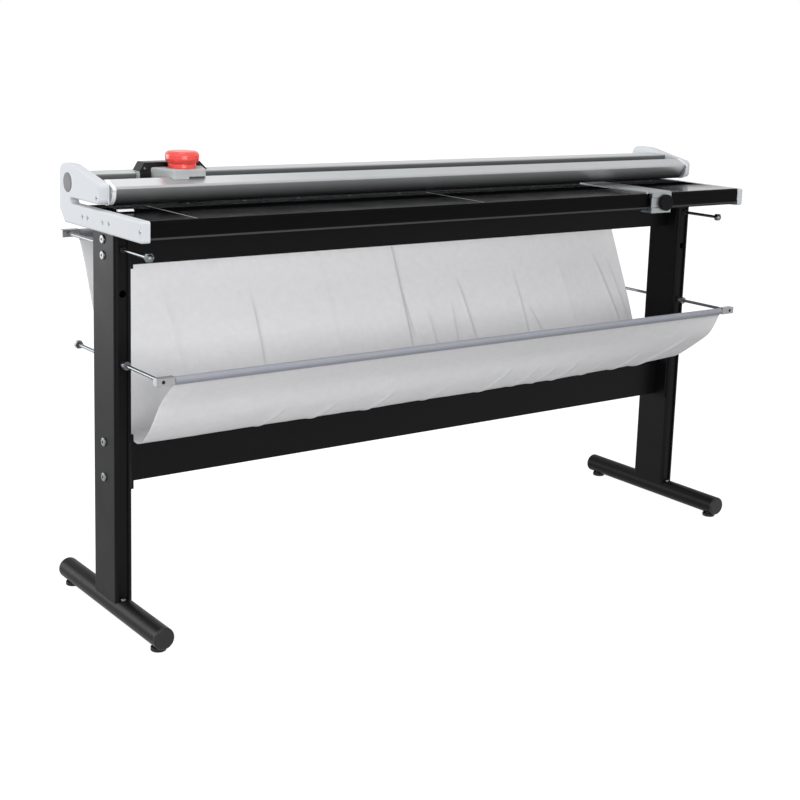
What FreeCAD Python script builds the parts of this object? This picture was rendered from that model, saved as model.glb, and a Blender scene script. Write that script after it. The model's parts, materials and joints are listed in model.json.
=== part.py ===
import FreeCAD, Part
import math
import os

# A large rotary paper trimmer on a two-column stand, with a hung cloth that catches the cut paper.
# Millimetres. X runs along the cut, the operator stands on the -Y side, Z = 0 is the floor.
# The origin lies on the floor, midway between the columns.

V = FreeCAD.Vector
X_AXIS = V(1, 0, 0)
Y_AXIS = V(0, 1, 0)
Z_AXIS = V(0, 0, 1)
SIDES = (-1, 1)

# Clearances
SEAT_GAP = 0.05           # pieces that are screwed or pushed together
RUN_GAP = 0.05            # radial, between a shaft and its bore
SLIDE_GAP = 0.4           # between pieces that slide past each other

# Table
TABLE_TOP_Z = 900.0
TABLE_HEIGHT = 40.0
TABLE_HALF_LENGTH = 860.0
TABLE_FRONT_Y = -218.0
BOARD_THICKNESS = 12.0
TRAY_SHEET = 2.0
FRONT_PROFILE_DEPTH = 12.0
FRONT_PROFILE_WALL = 2.5
FRONT_LIP_HEIGHT = 8.0
FRONT_LIP_STEP = 2.0
FRONT_LINE_DROP = 8.0
FRONT_LINE_HEIGHT = 1.2
FRONT_LINE_DEPTH = 0.8
RIB_WIDTH = 40.0
RIB_COUNT = 5
INLAY_FROM_END = 110.0
INLAY_WIDTH = 3.0
INLAY_DEPTH = 1.0

# Channel between the two rails, in which the cutting head runs
CHANNEL_FRONT_Y = -6.0
CHANNEL_WIDTH = 56.0

# Fixed blade along the back of the table
CUT_FROM_REAR_RAIL = 5.3
COUNTER_BLADE_WIDTH = 28.7
COUNTER_BLADE_THICKNESS = 6.0
BLADE_BAR_HEIGHT = 28.0
BLADE_BAR_LEDGE = 31.3
BLADE_BAR_STEP_DROP = 12.0
BLADE_SLOT_WIDTH = 4.3
BLADE_LEDGE_DROP = 0.5
COUNTER_SCREW_COUNT = 12
COUNTER_SCREW_RADIUS = 2.5
COUNTER_SCREW_HEAD_DEPTH = 2.5
COUNTER_SCREW_LENGTH = 14.0
COUNTER_SCREW_SINK = 0.3

# End brackets
BRACKET_THICKNESS = 20.0
BRACKET_DROP = 4.0
BRACKET_BACK_Y = 176.0
BRACKET_RISE = 84.0
NOSE_REACH = 21.0
SLIT_HEIGHT = 12.0
SLIT_FROM_BACK = 64.0
BRACKET_EDGE_RADIUS = 4.0
DISC_FROM_BACK = 44.0
DISC_RISE = 44.0
DISC_RADIUS = 21.0
DISC_DEPTH = 3.0
DISC_PROUD = 1.0
RIB_SCREW_YS = (-42.0, -71.0)
BAR_SCREW_INSET = 20.0
BLADE_SCREW_INSET = 15.0
LOWER_SCREW_DROP = 22.0
NOSE_SCREW_INSET = 6.5
NOSE_SCREW_RISE = 24.0
BRACKET_SCREW_RADIUS = 2.5
BRACKET_SCREW_HEAD_RADIUS = 5.2
BRACKET_SCREW_HEAD_DEPTH = 4.0
BRACKET_SCREW_REACH = 14.0
BRACKET_SCREW_SINK = 1.0
SOCKET_FLATS = 4.0
SOCKET_DEPTH = 2.0

# Rails above the table
RAIL_RISE = 62.0
FRONT_RAIL_DEPTH = 31.0
FRONT_RAIL_GAP = 10.0
FRONT_RAIL_SHOULDER_DROP = 12.5
FRONT_RAIL_SHOULDER_INSET = 2.5
RAIL_WALL = 2.5
RAIL_CAP_LENGTH = 12.0
CAP_FLOOR = 4.0
CAP_PROUD = 4.0
CAP_RECESS = 3.0
CAP_SLOT_DEPTH = 4.0
CAP_SLOT_WIDTH = 3.0
CAP_SLOT_HEIGHT = 10.0
CAP_SLOT_DROP = 13.5
CAP_SLOT_INSET = 2.5
GROOVE_HEIGHT = 12.0
GROOVE_DEPTH = 8.0
GROOVE_DROP = 20.0
REAR_RAIL_DEPTH = 65.0
REAR_RAIL_STEP = 7.0
REAR_RAIL_GAP = 12.0
STRIP_THICKNESS = 1.2
STRIP_DEPTH = 60.0
STRIP_FLAT = 6.0
STRIP_GAP = 5.4
STRIP_TAB_LENGTH = 36.0
BUFFER_THICKNESS = 5.0
BUFFER_RADIUS = 8.0

# Cutting head, drawn at its place in the photograph; reaches are measured from the knob's axis
HEAD_FROM_END = 193.0
FRAME_LEFT_REACH = 88.0
BRIDGE_LEFT_REACH = 36.0
BRIDGE_RIGHT_REACH = 43.0
PLATE_LEFT_REACH = 48.0
PLATE_RIGHT_REACH = 77.0
PLATE_TOP_DROP = 4.0
FRAME_PLATE_INSET = 26.0
FRAME_PLATE_THICKNESS = 12.0
FRAME_WALL_INSET = 8.0
FRAME_DROP = 44.0
BRIDGE_RISE = 9.0
BRIDGE_THICKNESS = 3.5
END_BLOCK_LENGTH = 25.0
END_BLOCK_GAP = 1.0
END_BLOCK_THICKNESS = 13.0
END_BLOCK_HEIGHT = 42.0
RIDGE_HEIGHT = 19.0
RIDGE_OVERHANG = 4.5
RIDGE_REACH = 29.0
RIDGE_LEFT_FOOT_REACH = 86.0
RIDGE_LEFT_TOP_REACH = 74.5
RIDGE_RIGHT_TOP_REACH = 59.0
RIDGE_RIGHT_FOOT_REACH = 79.0
RIDGE_SCREW_RADIUS = 2.5
RIDGE_SCREW_RISE = 6.5
HOUSING_FRONT_LEFT_REACH = 37.0
HOUSING_FRONT_RIGHT_REACH = 41.0
HOUSING_BACK_LEFT_REACH = 60.0
HOUSING_BACK_RIGHT_REACH = 66.0
HOUSING_FRONT_REACH = 12.0
HOUSING_BACK_INSET = 6.0
HOUSING_HEIGHT = 16.7
HOUSING_WALL = 2.5
HOUSING_SKIRT_DROP = 14.0
HOUSING_SKIRT_GAP = 1.2
HOUSING_CORNER = 7.0
HOUSING_EDGE_RADIUS = 5.5
HOUSING_SCREW_INSET = 7.5
HOUSING_SCREW_Y = 12.0
HOUSING_SCREW_RADIUS = 1.5
HOUSING_SCREW_HEAD_RADIUS = 3.0
HOUSING_POST_RADIUS = 4.0
WIPER_THICKNESS = 4.0
WIPER_WIDTH = 9.0
WIPER_HEIGHT = 21.0
RUN_OVER_GAP = 0.8

# Round blade
BLADE_OFFSET_X = -13.0
BLADE_RADIUS = 35.0
BLADE_THICKNESS = 1.2
BLADE_BEVEL = 3.0
BLADE_OVERLAP = 4.0
BLADE_SIDE_GAP = 0.2
BLADE_AXLE_RADIUS = 4.0
BLADE_AXLE_HEAD_RADIUS = 7.0
BLADE_AXLE_HEAD_LENGTH = 4.0
HUB_RADIUS = 10.0
HUB_LENGTH = 2.9
BLADE_NUT_LENGTH = 2.8
SPRING_WIRE = 0.6
SPRING_MEAN_RADIUS = 6.0
SPRING_TURNS = 3
SPRING_END_GAP = 0.15

# Guide rollers
ROLLER_OFFSETS_X = (-74.0, 37.0)
ROLLER_RADIUS = 5.8
ROLLER_WIDTH = 5.0
ROLLER_AXLE_RADIUS = 2.0
ROLLER_SHOULDER_RADIUS = 3.0
ROLLER_CLIP_THICKNESS = 0.5

# Knob on the cutting head
KNOB_INSET = 21.0
KNOB_RADIUS = 37.0
KNOB_NECK_RADIUS = 30.0
KNOB_HEIGHT = 36.5
KNOB_NECK_HEIGHT = 10.0
KNOB_STEM_RADIUS = 5.0
KNOB_STEM_DEPTH = 20.0
KNOB_BOSS_RADIUS = 11.0

# Side stop
STOP_FROM_END = 299.0
STOP_PLATE_WIDTH = 86.5
STOP_PLATE_THICKNESS = 4.0
STOP_PLATE_OVER_BLADE = 10.0
STOP_CLAMP_WIDTH = 68.5
STOP_CLAMP_REACH = 11.0
STOP_CLAMP_WEB_REACH = 9.5
STOP_CLAMP_WEB = 5.0
STOP_CLAMP_FOOT_REACH = 26.0
STOP_FLANGE_HEIGHT = 13.5
STOP_FOOT_HEIGHT = 8.0
STOP_KNOB_RADIUS = 20.5
STOP_KNOB_OFFSET = 13.0
STOP_KNOB_DROP = 23.0
STOP_KNOB_THICKNESS = 8.0
STOP_SCREW_RADIUS = 4.0

# Stand
COLUMN_WIDTH = 40.0
COLUMN_DEPTH = 110.0
COLUMN_CORNER = 8.0
COLUMN_WALL = 3.0
COLUMN_GROOVE_WIDTH = 20.0
COLUMN_GROOVE_DEPTH = 4.0
COLUMN_HOLE_RADIUS = 8.0
UPPER_ROD_DROP = 80.0
SPARE_HOLE_DROP = 173.0
LOWER_ROD_Z = 577.0
BEAM_THICKNESS = 20.0
BEAM_WALL = 2.0
UPPER_BEAM_HEIGHT = 80.0
LOWER_BEAM_Z = 304.0
LOWER_BEAM_HEIGHT = 100.0
END_PLATE_THICKNESS = 6.0
END_PLATE_DEPTH = 96.0
UPPER_PLATE_HEIGHT = 82.0
LOWER_PLATE_DROP = 5.0
LOWER_PLATE_HEIGHT = 120.0
UPPER_BOLT_DROPS = (23.0, 57.0)
LOWER_BOLT_RISES = (94.0, 16.0)
BEAM_BOLT_RADIUS = 5.0
BEAM_BOLT_HEAD_RADIUS = 9.8
BEAM_BOLT_HEAD_HEIGHT = 3.8
BEAM_BOLT_EDGE_RADIUS = 2.5
BEAM_BOLT_SOCKET_FLATS = 6.0

# Feet
FOOT_RADIUS = 24.0
FOOT_WALL = 2.5
FOOT_AXIS_Z = 33.0
FOOT_HALF_LENGTH = 243.0
FOOT_CAP_THICKNESS = 5.0
FOOT_PLUG_LENGTH = 14.0
PAD_FROM_END = 28.0
PAD_RADIUS = 16.5
PAD_HEIGHT = 8.5
STUD_RADIUS = 4.0
STUD_TOP_Z = 24.0
INSERT_RADIUS = 8.0
BASE_SCREW_FROM_COLUMN = 8.0
BASE_SCREW_OFFSET_X = -6.0
BASE_SCREW_HEAD_RADIUS = 5.0
BASE_SCREW_HEAD_HEIGHT = 4.0
BASE_SCREW_RADIUS = 2.5
BASE_SCREW_LENGTH = 10.0

# Paper basket
ROD_RADIUS = 4.0
ROD_NUT_FLATS = 17.0
ROD_NUT_LENGTH = 16.0
ROD_FREE_REACH = 183.0
ROD_BLOCK_SEAT = 8.0
BAR_Y = 228.0
BAR_RADIUS = 6.0
BAR_WALL = 1.5
BAR_BLOCK_SEAT = 12.0
BLOCK_SIDE = 17.0
BLOCK_FROM_ROD = 15.0
BLOCK_GAP_TO_CLOTH = 1.0
BUSH_LENGTH = 8.0
BUSH_FLANGE_RADIUS = 9.5
BUSH_NOSE_WALL = 2.0
BUSH_FLANGE_LENGTH = 9.0
COLLAR_RADIUS = 9.0
COLLAR_LENGTH = 12.0
ROD_SCREW_RADIUS = 2.5
ROD_SCREW_HEAD_RADIUS = 4.0
ROD_SCREW_HEAD_LENGTH = 4.0
ROD_SCREW_SINK = 1.0
CLOTH_FROM_COLUMN = 8.0
CLOTH_THICKNESS = 2.0
SLEEVE_WALL = 2.0
CLOTH_SECTION_COUNT = 49

# Main folds of the cloth: X of the upper end, X of the lower end, height
FOLD_HALF_WIDTH = 38.0
BACK_FOLDS = (
    (-700.0, -690.0, 3.0), (-411.0, -411.0, 7.0), (-190.0, -180.0, 3.0), (22.0, 22.0, 10.0),
    (105.0, 130.0, 4.0), (217.0, 236.0, 6.0), (425.0, 465.0, 7.0), (610.0, 620.0, 3.0), (722.0, 757.0, 7.0),
)
FRONT_FOLDS = (
    (-486.0, -525.0, 5.0), (-341.0, -385.0, 5.0), (-187.0, -234.0, 5.0), (-20.0, -60.0, 3.0),
    (162.0, 113.0, 5.0), (261.0, 221.0, 4.0), (389.0, 330.0, 5.0), (613.0, 570.0, 5.0), (745.0, 645.0, 6.0),
)


def box(x0, x1, y0, y1, z0, z1):
    return Part.makeBox(x1 - x0, y1 - y0, z1 - z0, V(x0, y0, z0))


def rod(radius, start, axis, length):
    return Part.makeCylinder(radius, length, start, axis)


def ring(outer, inner, start, axis, length):
    return rod(outer, start, axis, length).cut(rod(inner, start, axis, length))


def wire_yz(points, x):
    """A closed wire at x from (y, z) corners; (y, z, "arc") is an arc's middle."""
    edges = []
    corner = None
    middle = None
    loop = list(points) + [points[0]]
    for point in loop:
        place = V(x, point[0], point[1])
        if len(point) == 3:
            middle = place
            continue
        if corner is not None:
            if middle is None:
                edges.append(Part.makeLine(corner, place))
            else:
                edges.append(Part.Arc(corner, middle, place).toShape())
        corner = place
        middle = None
    return Part.Wire(edges)


def bar_x(points, x0, x1):
    """A bar along X whose section is given in the YZ plane."""
    return Part.Face(wire_yz(points, x0)).extrude(V(x1 - x0, 0, 0))


def bar_y(points, y0, y1):
    """A bar along Y whose section is given as (x, z) corners."""
    corners = [V(x, y0, z) for x, z in points]
    return Part.Face(Part.makePolygon(corners + corners[:1])).extrude(V(0, y1 - y0, 0))


def rounded_slab(x0, x1, y0, y1, z0, z1, radius):
    """A box whose four upright edges are rounded."""
    block = box(x0, x1, y0, y1, z0, z1)
    upright = [e for e in block.Edges if abs(e.Vertexes[0].Z - e.Vertexes[1].Z) > (z1 - z0) / 2]
    return block.makeFillet(radius, upright)


def hexagon(flats, start, axis, length):
    """A hexagonal prism; axis is X or Y."""
    corner = flats / math.sqrt(3)
    points = []
    for k in range(7):
        turn = math.radians(60 * k)
        across = corner * math.cos(turn)
        up = corner * math.sin(turn)
        if abs(axis.x) > 0.5:
            points.append(start + V(0, across, up))
        else:
            points.append(start + V(across, 0, up))
    return Part.Face(Part.makePolygon(points)).extrude(axis * length)


def mirror_x(shape):
    return shape.mirror(V(0, 0, 0), X_AXIS)


def both_ends(shape):
    return [shape, mirror_x(shape)]


def export(name, solids):
    """Write one node, made of one or more separate solids."""
    if not isinstance(solids, (list, tuple)):
        solids = [solids]
    loose = []
    for shape in solids:
        loose.extend(shape.Solids)
    shape = loose[0] if len(loose) == 1 else Part.makeCompound(loose)
    shape.exportStep("parts/" + name + ".step")
    volume = sum(s.Volume for s in loose)
    print("%-24s %3d solids %12.1f mm3 valid %s" % (name, len(loose), volume, shape.isValid()))


# Levels and places that follow from the sizes above
TABLE_BOTTOM_Z = TABLE_TOP_Z - TABLE_HEIGHT
BOARD_BOTTOM_Z = TABLE_TOP_Z - BOARD_THICKNESS
RIB_TOP_Z = BOARD_BOTTOM_Z - TRAY_SHEET
PROFILE_BACK_Y = TABLE_FRONT_Y + FRONT_PROFILE_DEPTH
INLAY_POSITIONS = (INLAY_FROM_END - TABLE_HALF_LENGTH, 0.0)

CHANNEL_BACK_Y = CHANNEL_FRONT_Y + CHANNEL_WIDTH
CUT_Y = CHANNEL_BACK_Y - CUT_FROM_REAR_RAIL
COUNTER_BLADE_FRONT_Y = CUT_Y - COUNTER_BLADE_WIDTH
BLADE_BAR_TOP_Z = TABLE_TOP_Z - COUNTER_BLADE_THICKNESS
BLADE_BAR_BOTTOM_Z = BLADE_BAR_TOP_Z - BLADE_BAR_HEIGHT
BLADE_BAR_STEP_Z = TABLE_TOP_Z - BLADE_BAR_STEP_DROP
BLADE_BAR_BACK_Y = CUT_Y + BLADE_BAR_LEDGE
BLADE_SLOT_BACK_Y = CUT_Y + BLADE_SLOT_WIDTH
BLADE_LEDGE_Z = TABLE_TOP_Z - BLADE_LEDGE_DROP

BRACKET_OUTER_X = TABLE_HALF_LENGTH + BRACKET_THICKNESS
BRACKET_TOP_Z = TABLE_TOP_Z + BRACKET_RISE
NOSE_Y = CHANNEL_FRONT_Y - NOSE_REACH
SLIT_END_Y = BRACKET_BACK_Y - SLIT_FROM_BACK
DISC_Y = BRACKET_BACK_Y - DISC_FROM_BACK
DISC_Z = TABLE_TOP_Z + DISC_RISE
BAR_SCREW_YS = (BLADE_BAR_BACK_Y - BAR_SCREW_INSET, COUNTER_BLADE_FRONT_Y + BLADE_SCREW_INSET)
PROFILE_SCREW_Y = TABLE_FRONT_Y + FRONT_PROFILE_DEPTH / 2
LOWER_SCREW_Z = TABLE_TOP_Z - LOWER_SCREW_DROP
NOSE_SCREW_Y = CHANNEL_FRONT_Y - NOSE_SCREW_INSET
NOSE_SCREW_Z = TABLE_TOP_Z + NOSE_SCREW_RISE
BRACKET_SCREW_SEAT_X = BRACKET_OUTER_X - BRACKET_SCREW_SINK - BRACKET_SCREW_HEAD_DEPTH
NOSE_SCREW_REACH = RAIL_CAP_LENGTH - CAP_FLOOR

RAIL_TOP_Z = TABLE_TOP_Z + RAIL_RISE
RAIL_CLEAR_Z = RAIL_TOP_Z + RUN_OVER_GAP
FRONT_RAIL_FRONT_Y = CHANNEL_FRONT_Y - FRONT_RAIL_DEPTH
FRONT_RAIL_BOTTOM_Z = TABLE_TOP_Z + FRONT_RAIL_GAP
FRONT_RAIL_SHOULDER_Z = RAIL_TOP_Z - FRONT_RAIL_SHOULDER_DROP
FRONT_RAIL_SHOULDER_Y = FRONT_RAIL_FRONT_Y + FRONT_RAIL_SHOULDER_INSET
FRONT_RAIL_SLOPE = FRONT_RAIL_SHOULDER_DROP / (CHANNEL_FRONT_Y - FRONT_RAIL_SHOULDER_Y)
CAP_FRONT_Y = FRONT_RAIL_FRONT_Y - CAP_PROUD
GROOVE_CENTRE_Z = RAIL_TOP_Z - GROOVE_DROP
REAR_RAIL_BACK_Y = CHANNEL_BACK_Y + REAR_RAIL_DEPTH
REAR_RAIL_TOP_Z = RAIL_TOP_Z + REAR_RAIL_STEP
REAR_RAIL_BOTTOM_Z = TABLE_TOP_Z + REAR_RAIL_GAP
STRIP_FRONT_Y = CHANNEL_FRONT_Y - STRIP_DEPTH
STRIP_BACK_Y = CHANNEL_FRONT_Y - STRIP_FLAT
STRIP_FRONT_Z = TABLE_TOP_Z + STRIP_GAP

HEAD_X = HEAD_FROM_END - TABLE_HALF_LENGTH
FRAME_LEFT_X = HEAD_X - FRAME_LEFT_REACH
BRIDGE_LEFT_X = HEAD_X - BRIDGE_LEFT_REACH
BRIDGE_RIGHT_X = HEAD_X + BRIDGE_RIGHT_REACH
PLATE_LEFT_X = HEAD_X - PLATE_LEFT_REACH
PLATE_RIGHT_X = HEAD_X + PLATE_RIGHT_REACH
PLATE_TOP_Z = RAIL_TOP_Z - PLATE_TOP_DROP
FRAME_PLATE_Y = CHANNEL_FRONT_Y + FRAME_PLATE_INSET
FRAME_PLATE_BACK_Y = FRAME_PLATE_Y + FRAME_PLATE_THICKNESS
FRAME_WALL_Y = CHANNEL_FRONT_Y + FRAME_WALL_INSET
FRAME_BOTTOM_Z = RAIL_TOP_Z - FRAME_DROP
BRIDGE_Z = RAIL_TOP_Z + BRIDGE_RISE
BRIDGE_TOP_Z = BRIDGE_Z + BRIDGE_THICKNESS
RIDGE_TOP_Z = BRIDGE_Z + RIDGE_HEIGHT
RIDGE_FRONT_Y = CHANNEL_BACK_Y - RIDGE_OVERHANG
RIDGE_BACK_Y = CHANNEL_BACK_Y + RIDGE_REACH
RIDGE_LEFT_FOOT_X = HEAD_X - RIDGE_LEFT_FOOT_REACH
RIDGE_LEFT_TOP_X = HEAD_X - RIDGE_LEFT_TOP_REACH
RIDGE_RIGHT_TOP_X = HEAD_X + RIDGE_RIGHT_TOP_REACH
RIDGE_RIGHT_FOOT_X = HEAD_X + RIDGE_RIGHT_FOOT_REACH
END_BLOCK_BACK_Y = CHANNEL_BACK_Y - END_BLOCK_GAP
END_BLOCK_FRONT_Y = END_BLOCK_BACK_Y - END_BLOCK_THICKNESS
AXLE_SEATS = ((END_BLOCK_FRONT_Y, END_BLOCK_BACK_Y), (FRAME_PLATE_Y, FRAME_PLATE_BACK_Y))
HOUSING_FRONT_Y = CHANNEL_FRONT_Y - HOUSING_FRONT_REACH
HOUSING_BACK_Y = CHANNEL_BACK_Y - HOUSING_BACK_INSET
HOUSING_TOP_Z = RAIL_CLEAR_Z + HOUSING_HEIGHT
HOUSING_SCREW_XS = (BRIDGE_LEFT_X + HOUSING_SCREW_INSET, BRIDGE_RIGHT_X - HOUSING_SCREW_INSET)
KNOB_Y = CHANNEL_FRONT_Y + KNOB_INSET
BLADE_X = HEAD_X + BLADE_OFFSET_X
BLADE_Z = TABLE_TOP_Z - BLADE_OVERLAP + BLADE_RADIUS
BLADE_Y = CUT_Y + BLADE_SIDE_GAP
HUB_Y = BLADE_Y - HUB_LENGTH
ROLLER_XS = (HEAD_X + ROLLER_OFFSETS_X[0], HEAD_X + ROLLER_OFFSETS_X[1])
FRONT_ROLLER_Y = CHANNEL_FRONT_Y - 1.0 - ROLLER_WIDTH
REAR_ROLLER_Y = CHANNEL_BACK_Y + 1.5

STOP_X = TABLE_HALF_LENGTH - STOP_FROM_END
STOP_PLATE_BACK_Y = COUNTER_BLADE_FRONT_Y + STOP_PLATE_OVER_BLADE
STOP_CLAMP_FRONT_Y = TABLE_FRONT_Y - STOP_CLAMP_REACH
STOP_CLAMP_WEB_Y = TABLE_FRONT_Y - STOP_CLAMP_WEB_REACH
STOP_CLAMP_FOOT_Y = TABLE_FRONT_Y + STOP_CLAMP_FOOT_REACH
STOP_KNOB_X = STOP_X + STOP_KNOB_OFFSET
STOP_KNOB_Z = TABLE_TOP_Z - STOP_KNOB_DROP
STOP_KNOB_FRONT_Y = STOP_CLAMP_FRONT_Y - SLIDE_GAP - STOP_KNOB_THICKNESS

COLUMN_CENTRE_X = TABLE_HALF_LENGTH - COLUMN_WIDTH / 2
COLUMN_INNER_X = COLUMN_CENTRE_X - COLUMN_WIDTH / 2
COLUMN_OUTER_X = COLUMN_CENTRE_X + COLUMN_WIDTH / 2
COLUMN_FACE_Y = COLUMN_DEPTH / 2 - COLUMN_GROOVE_DEPTH
UPPER_ROD_Z = TABLE_TOP_Z - UPPER_ROD_DROP
SPARE_HOLE_Z = TABLE_TOP_Z - SPARE_HOLE_DROP
UPPER_BEAM_Z = TABLE_BOTTOM_Z - UPPER_BEAM_HEIGHT
LOWER_BEAM_TOP_Z = LOWER_BEAM_Z + LOWER_BEAM_HEIGHT
UPPER_PLATE_Z = TABLE_BOTTOM_Z - UPPER_PLATE_HEIGHT
LOWER_PLATE_Z = LOWER_BEAM_Z - LOWER_PLATE_DROP
UPPER_BOLT_ZS = [TABLE_BOTTOM_Z - drop for drop in UPPER_BOLT_DROPS]
LOWER_BOLT_ZS = [LOWER_BEAM_Z + rise for rise in LOWER_BOLT_RISES]
BEAM_BOLT_ZS = UPPER_BOLT_ZS + LOWER_BOLT_ZS
FOOT_TUBE_HALF = FOOT_HALF_LENGTH - FOOT_CAP_THICKNESS
PAD_Y = FOOT_HALF_LENGTH - PAD_FROM_END
BASE_SCREW_Y = -COLUMN_DEPTH / 2 - BASE_SCREW_FROM_COLUMN

CLOTH_HALF_WIDTH = COLUMN_INNER_X - CLOTH_FROM_COLUMN
BLOCK_INNER_X = CLOTH_HALF_WIDTH + BLOCK_GAP_TO_CLOTH
BLOCK_OUTER_X = COLUMN_CENTRE_X + BLOCK_FROM_ROD
ROD_BAR_END = BAR_Y - BLOCK_SIDE / 2 + ROD_BLOCK_SEAT
ROD_FREE_END = ROD_FREE_REACH - ROD_NUT_LENGTH / 2


# Stand

def column():
    """The right-hand column: a hollow profile with a groove down its front and back, coped to the foot."""
    half_w = COLUMN_WIDTH / 2
    half_d = COLUMN_DEPTH / 2
    cx = COLUMN_CENTRE_X
    body = rounded_slab(cx - half_w, cx + half_w, -half_d, half_d, FOOT_AXIS_Z, TABLE_BOTTOM_Z,
                        COLUMN_CORNER)
    groove = COLUMN_GROOVE_WIDTH / 2
    for side in SIDES:
        near = side * half_d
        far = side * COLUMN_FACE_Y
        body = body.cut(box(cx - groove, cx + groove, min(near, far), max(near, far), 0, TABLE_BOTTOM_Z))
    hollow_d = COLUMN_FACE_Y - COLUMN_WALL
    hollow_w = half_w - COLUMN_WALL
    body = body.cut(box(cx - hollow_w, cx + hollow_w, -hollow_d, hollow_d, 0, TABLE_BOTTOM_Z))
    for z in (UPPER_ROD_Z, SPARE_HOLE_Z, LOWER_ROD_Z):
        body = body.cut(rod(COLUMN_HOLE_RADIUS, V(cx, -half_d, z), Y_AXIS, COLUMN_DEPTH))
    for z in BEAM_BOLT_ZS:
        body = body.cut(rod(BEAM_BOLT_RADIUS + SEAT_GAP, V(cx - half_w, 0, z), X_AXIS, COLUMN_WIDTH))
    tube = rod(FOOT_RADIUS + SEAT_GAP, V(cx, -half_d, FOOT_AXIS_Z), Y_AXIS, COLUMN_DEPTH)
    return body.cut(tube)


def foot_tube(side):
    """A round tube along Y with holes for the two levelling feet and the base screw."""
    cx = side * COLUMN_CENTRE_X
    start = V(cx, -FOOT_TUBE_HALF, FOOT_AXIS_Z)
    tube = ring(FOOT_RADIUS, FOOT_RADIUS - FOOT_WALL, start, Y_AXIS, 2 * FOOT_TUBE_HALF)
    for end in SIDES:
        tube = tube.cut(rod(INSERT_RADIUS + SEAT_GAP, V(cx, end * PAD_Y, 0), Z_AXIS, FOOT_AXIS_Z))
    screw_start = V(cx + BASE_SCREW_OFFSET_X, BASE_SCREW_Y, FOOT_AXIS_Z)
    return tube.cut(rod(BASE_SCREW_RADIUS + SEAT_GAP, screw_start, Z_AXIS, FOOT_RADIUS))


def foot_caps():
    """Plugs with a domed rim that close the four ends of the foot tubes."""
    caps = []
    for side in SIDES:
        for end in SIDES:
            cx = side * COLUMN_CENTRE_X
            axis = V(0, end, 0)
            start = V(cx, end * FOOT_TUBE_HALF, FOOT_AXIS_Z)
            flange = rod(FOOT_RADIUS, start, axis, FOOT_CAP_THICKNESS)
            rim = [e for e in flange.Edges if abs(e.BoundBox.Center.y - end * FOOT_HALF_LENGTH) < 0.1]
            flange = flange.makeFillet(FOOT_CAP_THICKNESS * 0.8, rim)
            plug_start = start - axis * FOOT_PLUG_LENGTH
            plug = rod(FOOT_RADIUS - FOOT_WALL - SEAT_GAP, plug_start, axis, FOOT_PLUG_LENGTH)
            hollow = rod(FOOT_RADIUS - 2 * FOOT_WALL, plug_start, axis, FOOT_PLUG_LENGTH - FOOT_WALL)
            insert = rod(INSERT_RADIUS + SEAT_GAP, V(cx, end * PAD_Y, 0), Z_AXIS, FOOT_AXIS_Z)
            caps.append(flange.fuse(plug).removeSplitter().cut(hollow).cut(insert))
    return caps


def foot_places():
    return [(side * COLUMN_CENTRE_X, end * PAD_Y) for side in SIDES for end in SIDES]


def levelling_foot(x, y):
    """A round pad with its threaded stud."""
    pad = rod(PAD_RADIUS, V(x, y, 0), Z_AXIS, PAD_HEIGHT)
    rims = [e for e in pad.Edges if e.BoundBox.ZLength < 0.1]
    pad = pad.makeFillet(1.5, rims)
    stud = rod(STUD_RADIUS, V(x, y, PAD_HEIGHT), Z_AXIS, STUD_TOP_Z - PAD_HEIGHT)
    return [pad.fuse(stud)]


def foot_insert(x, y):
    """The threaded boss in the tube that takes the levelling stud."""
    bottom = FOOT_AXIS_Z - FOOT_RADIUS
    return ring(INSERT_RADIUS, STUD_RADIUS + RUN_GAP, V(x, y, bottom), Z_AXIS, STUD_TOP_Z - bottom)


def base_screws():
    screws = []
    for side in SIDES:
        x = side * COLUMN_CENTRE_X + BASE_SCREW_OFFSET_X
        seat = FOOT_AXIS_Z + FOOT_RADIUS
        head = rod(BASE_SCREW_HEAD_RADIUS, V(x, BASE_SCREW_Y, seat), Z_AXIS, BASE_SCREW_HEAD_HEIGHT)
        top = [e for e in head.Edges if abs(e.BoundBox.Center.z - seat - BASE_SCREW_HEAD_HEIGHT) < 0.1]
        head = head.makeFillet(BASE_SCREW_HEAD_HEIGHT * 0.5, top)
        shank = rod(BASE_SCREW_RADIUS, V(x, BASE_SCREW_Y, seat - BASE_SCREW_LENGTH), Z_AXIS,
                    BASE_SCREW_LENGTH)
        screws.append(head.fuse(shank))
    return screws


def beam(bottom, height, plate_bottom, plate_height):
    """A hollow beam between the columns with a bolting plate at each end."""
    half = COLUMN_INNER_X - END_PLATE_THICKNESS
    t = BEAM_THICKNESS / 2
    w = BEAM_WALL
    body = box(-half, half, -t, t, bottom, bottom + height)
    body = body.cut(box(-half, half, -t + w, t - w, bottom + w, bottom + height - w))
    plate = box(half, COLUMN_INNER_X, -END_PLATE_DEPTH / 2, END_PLATE_DEPTH / 2, plate_bottom,
                plate_bottom + plate_height)
    for z in BEAM_BOLT_ZS:
        plate = plate.cut(rod(BEAM_BOLT_RADIUS + SEAT_GAP, V(half, 0, z), X_AXIS, END_PLATE_THICKNESS))
    return body.fuse(both_ends(plate)).removeSplitter()


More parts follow.
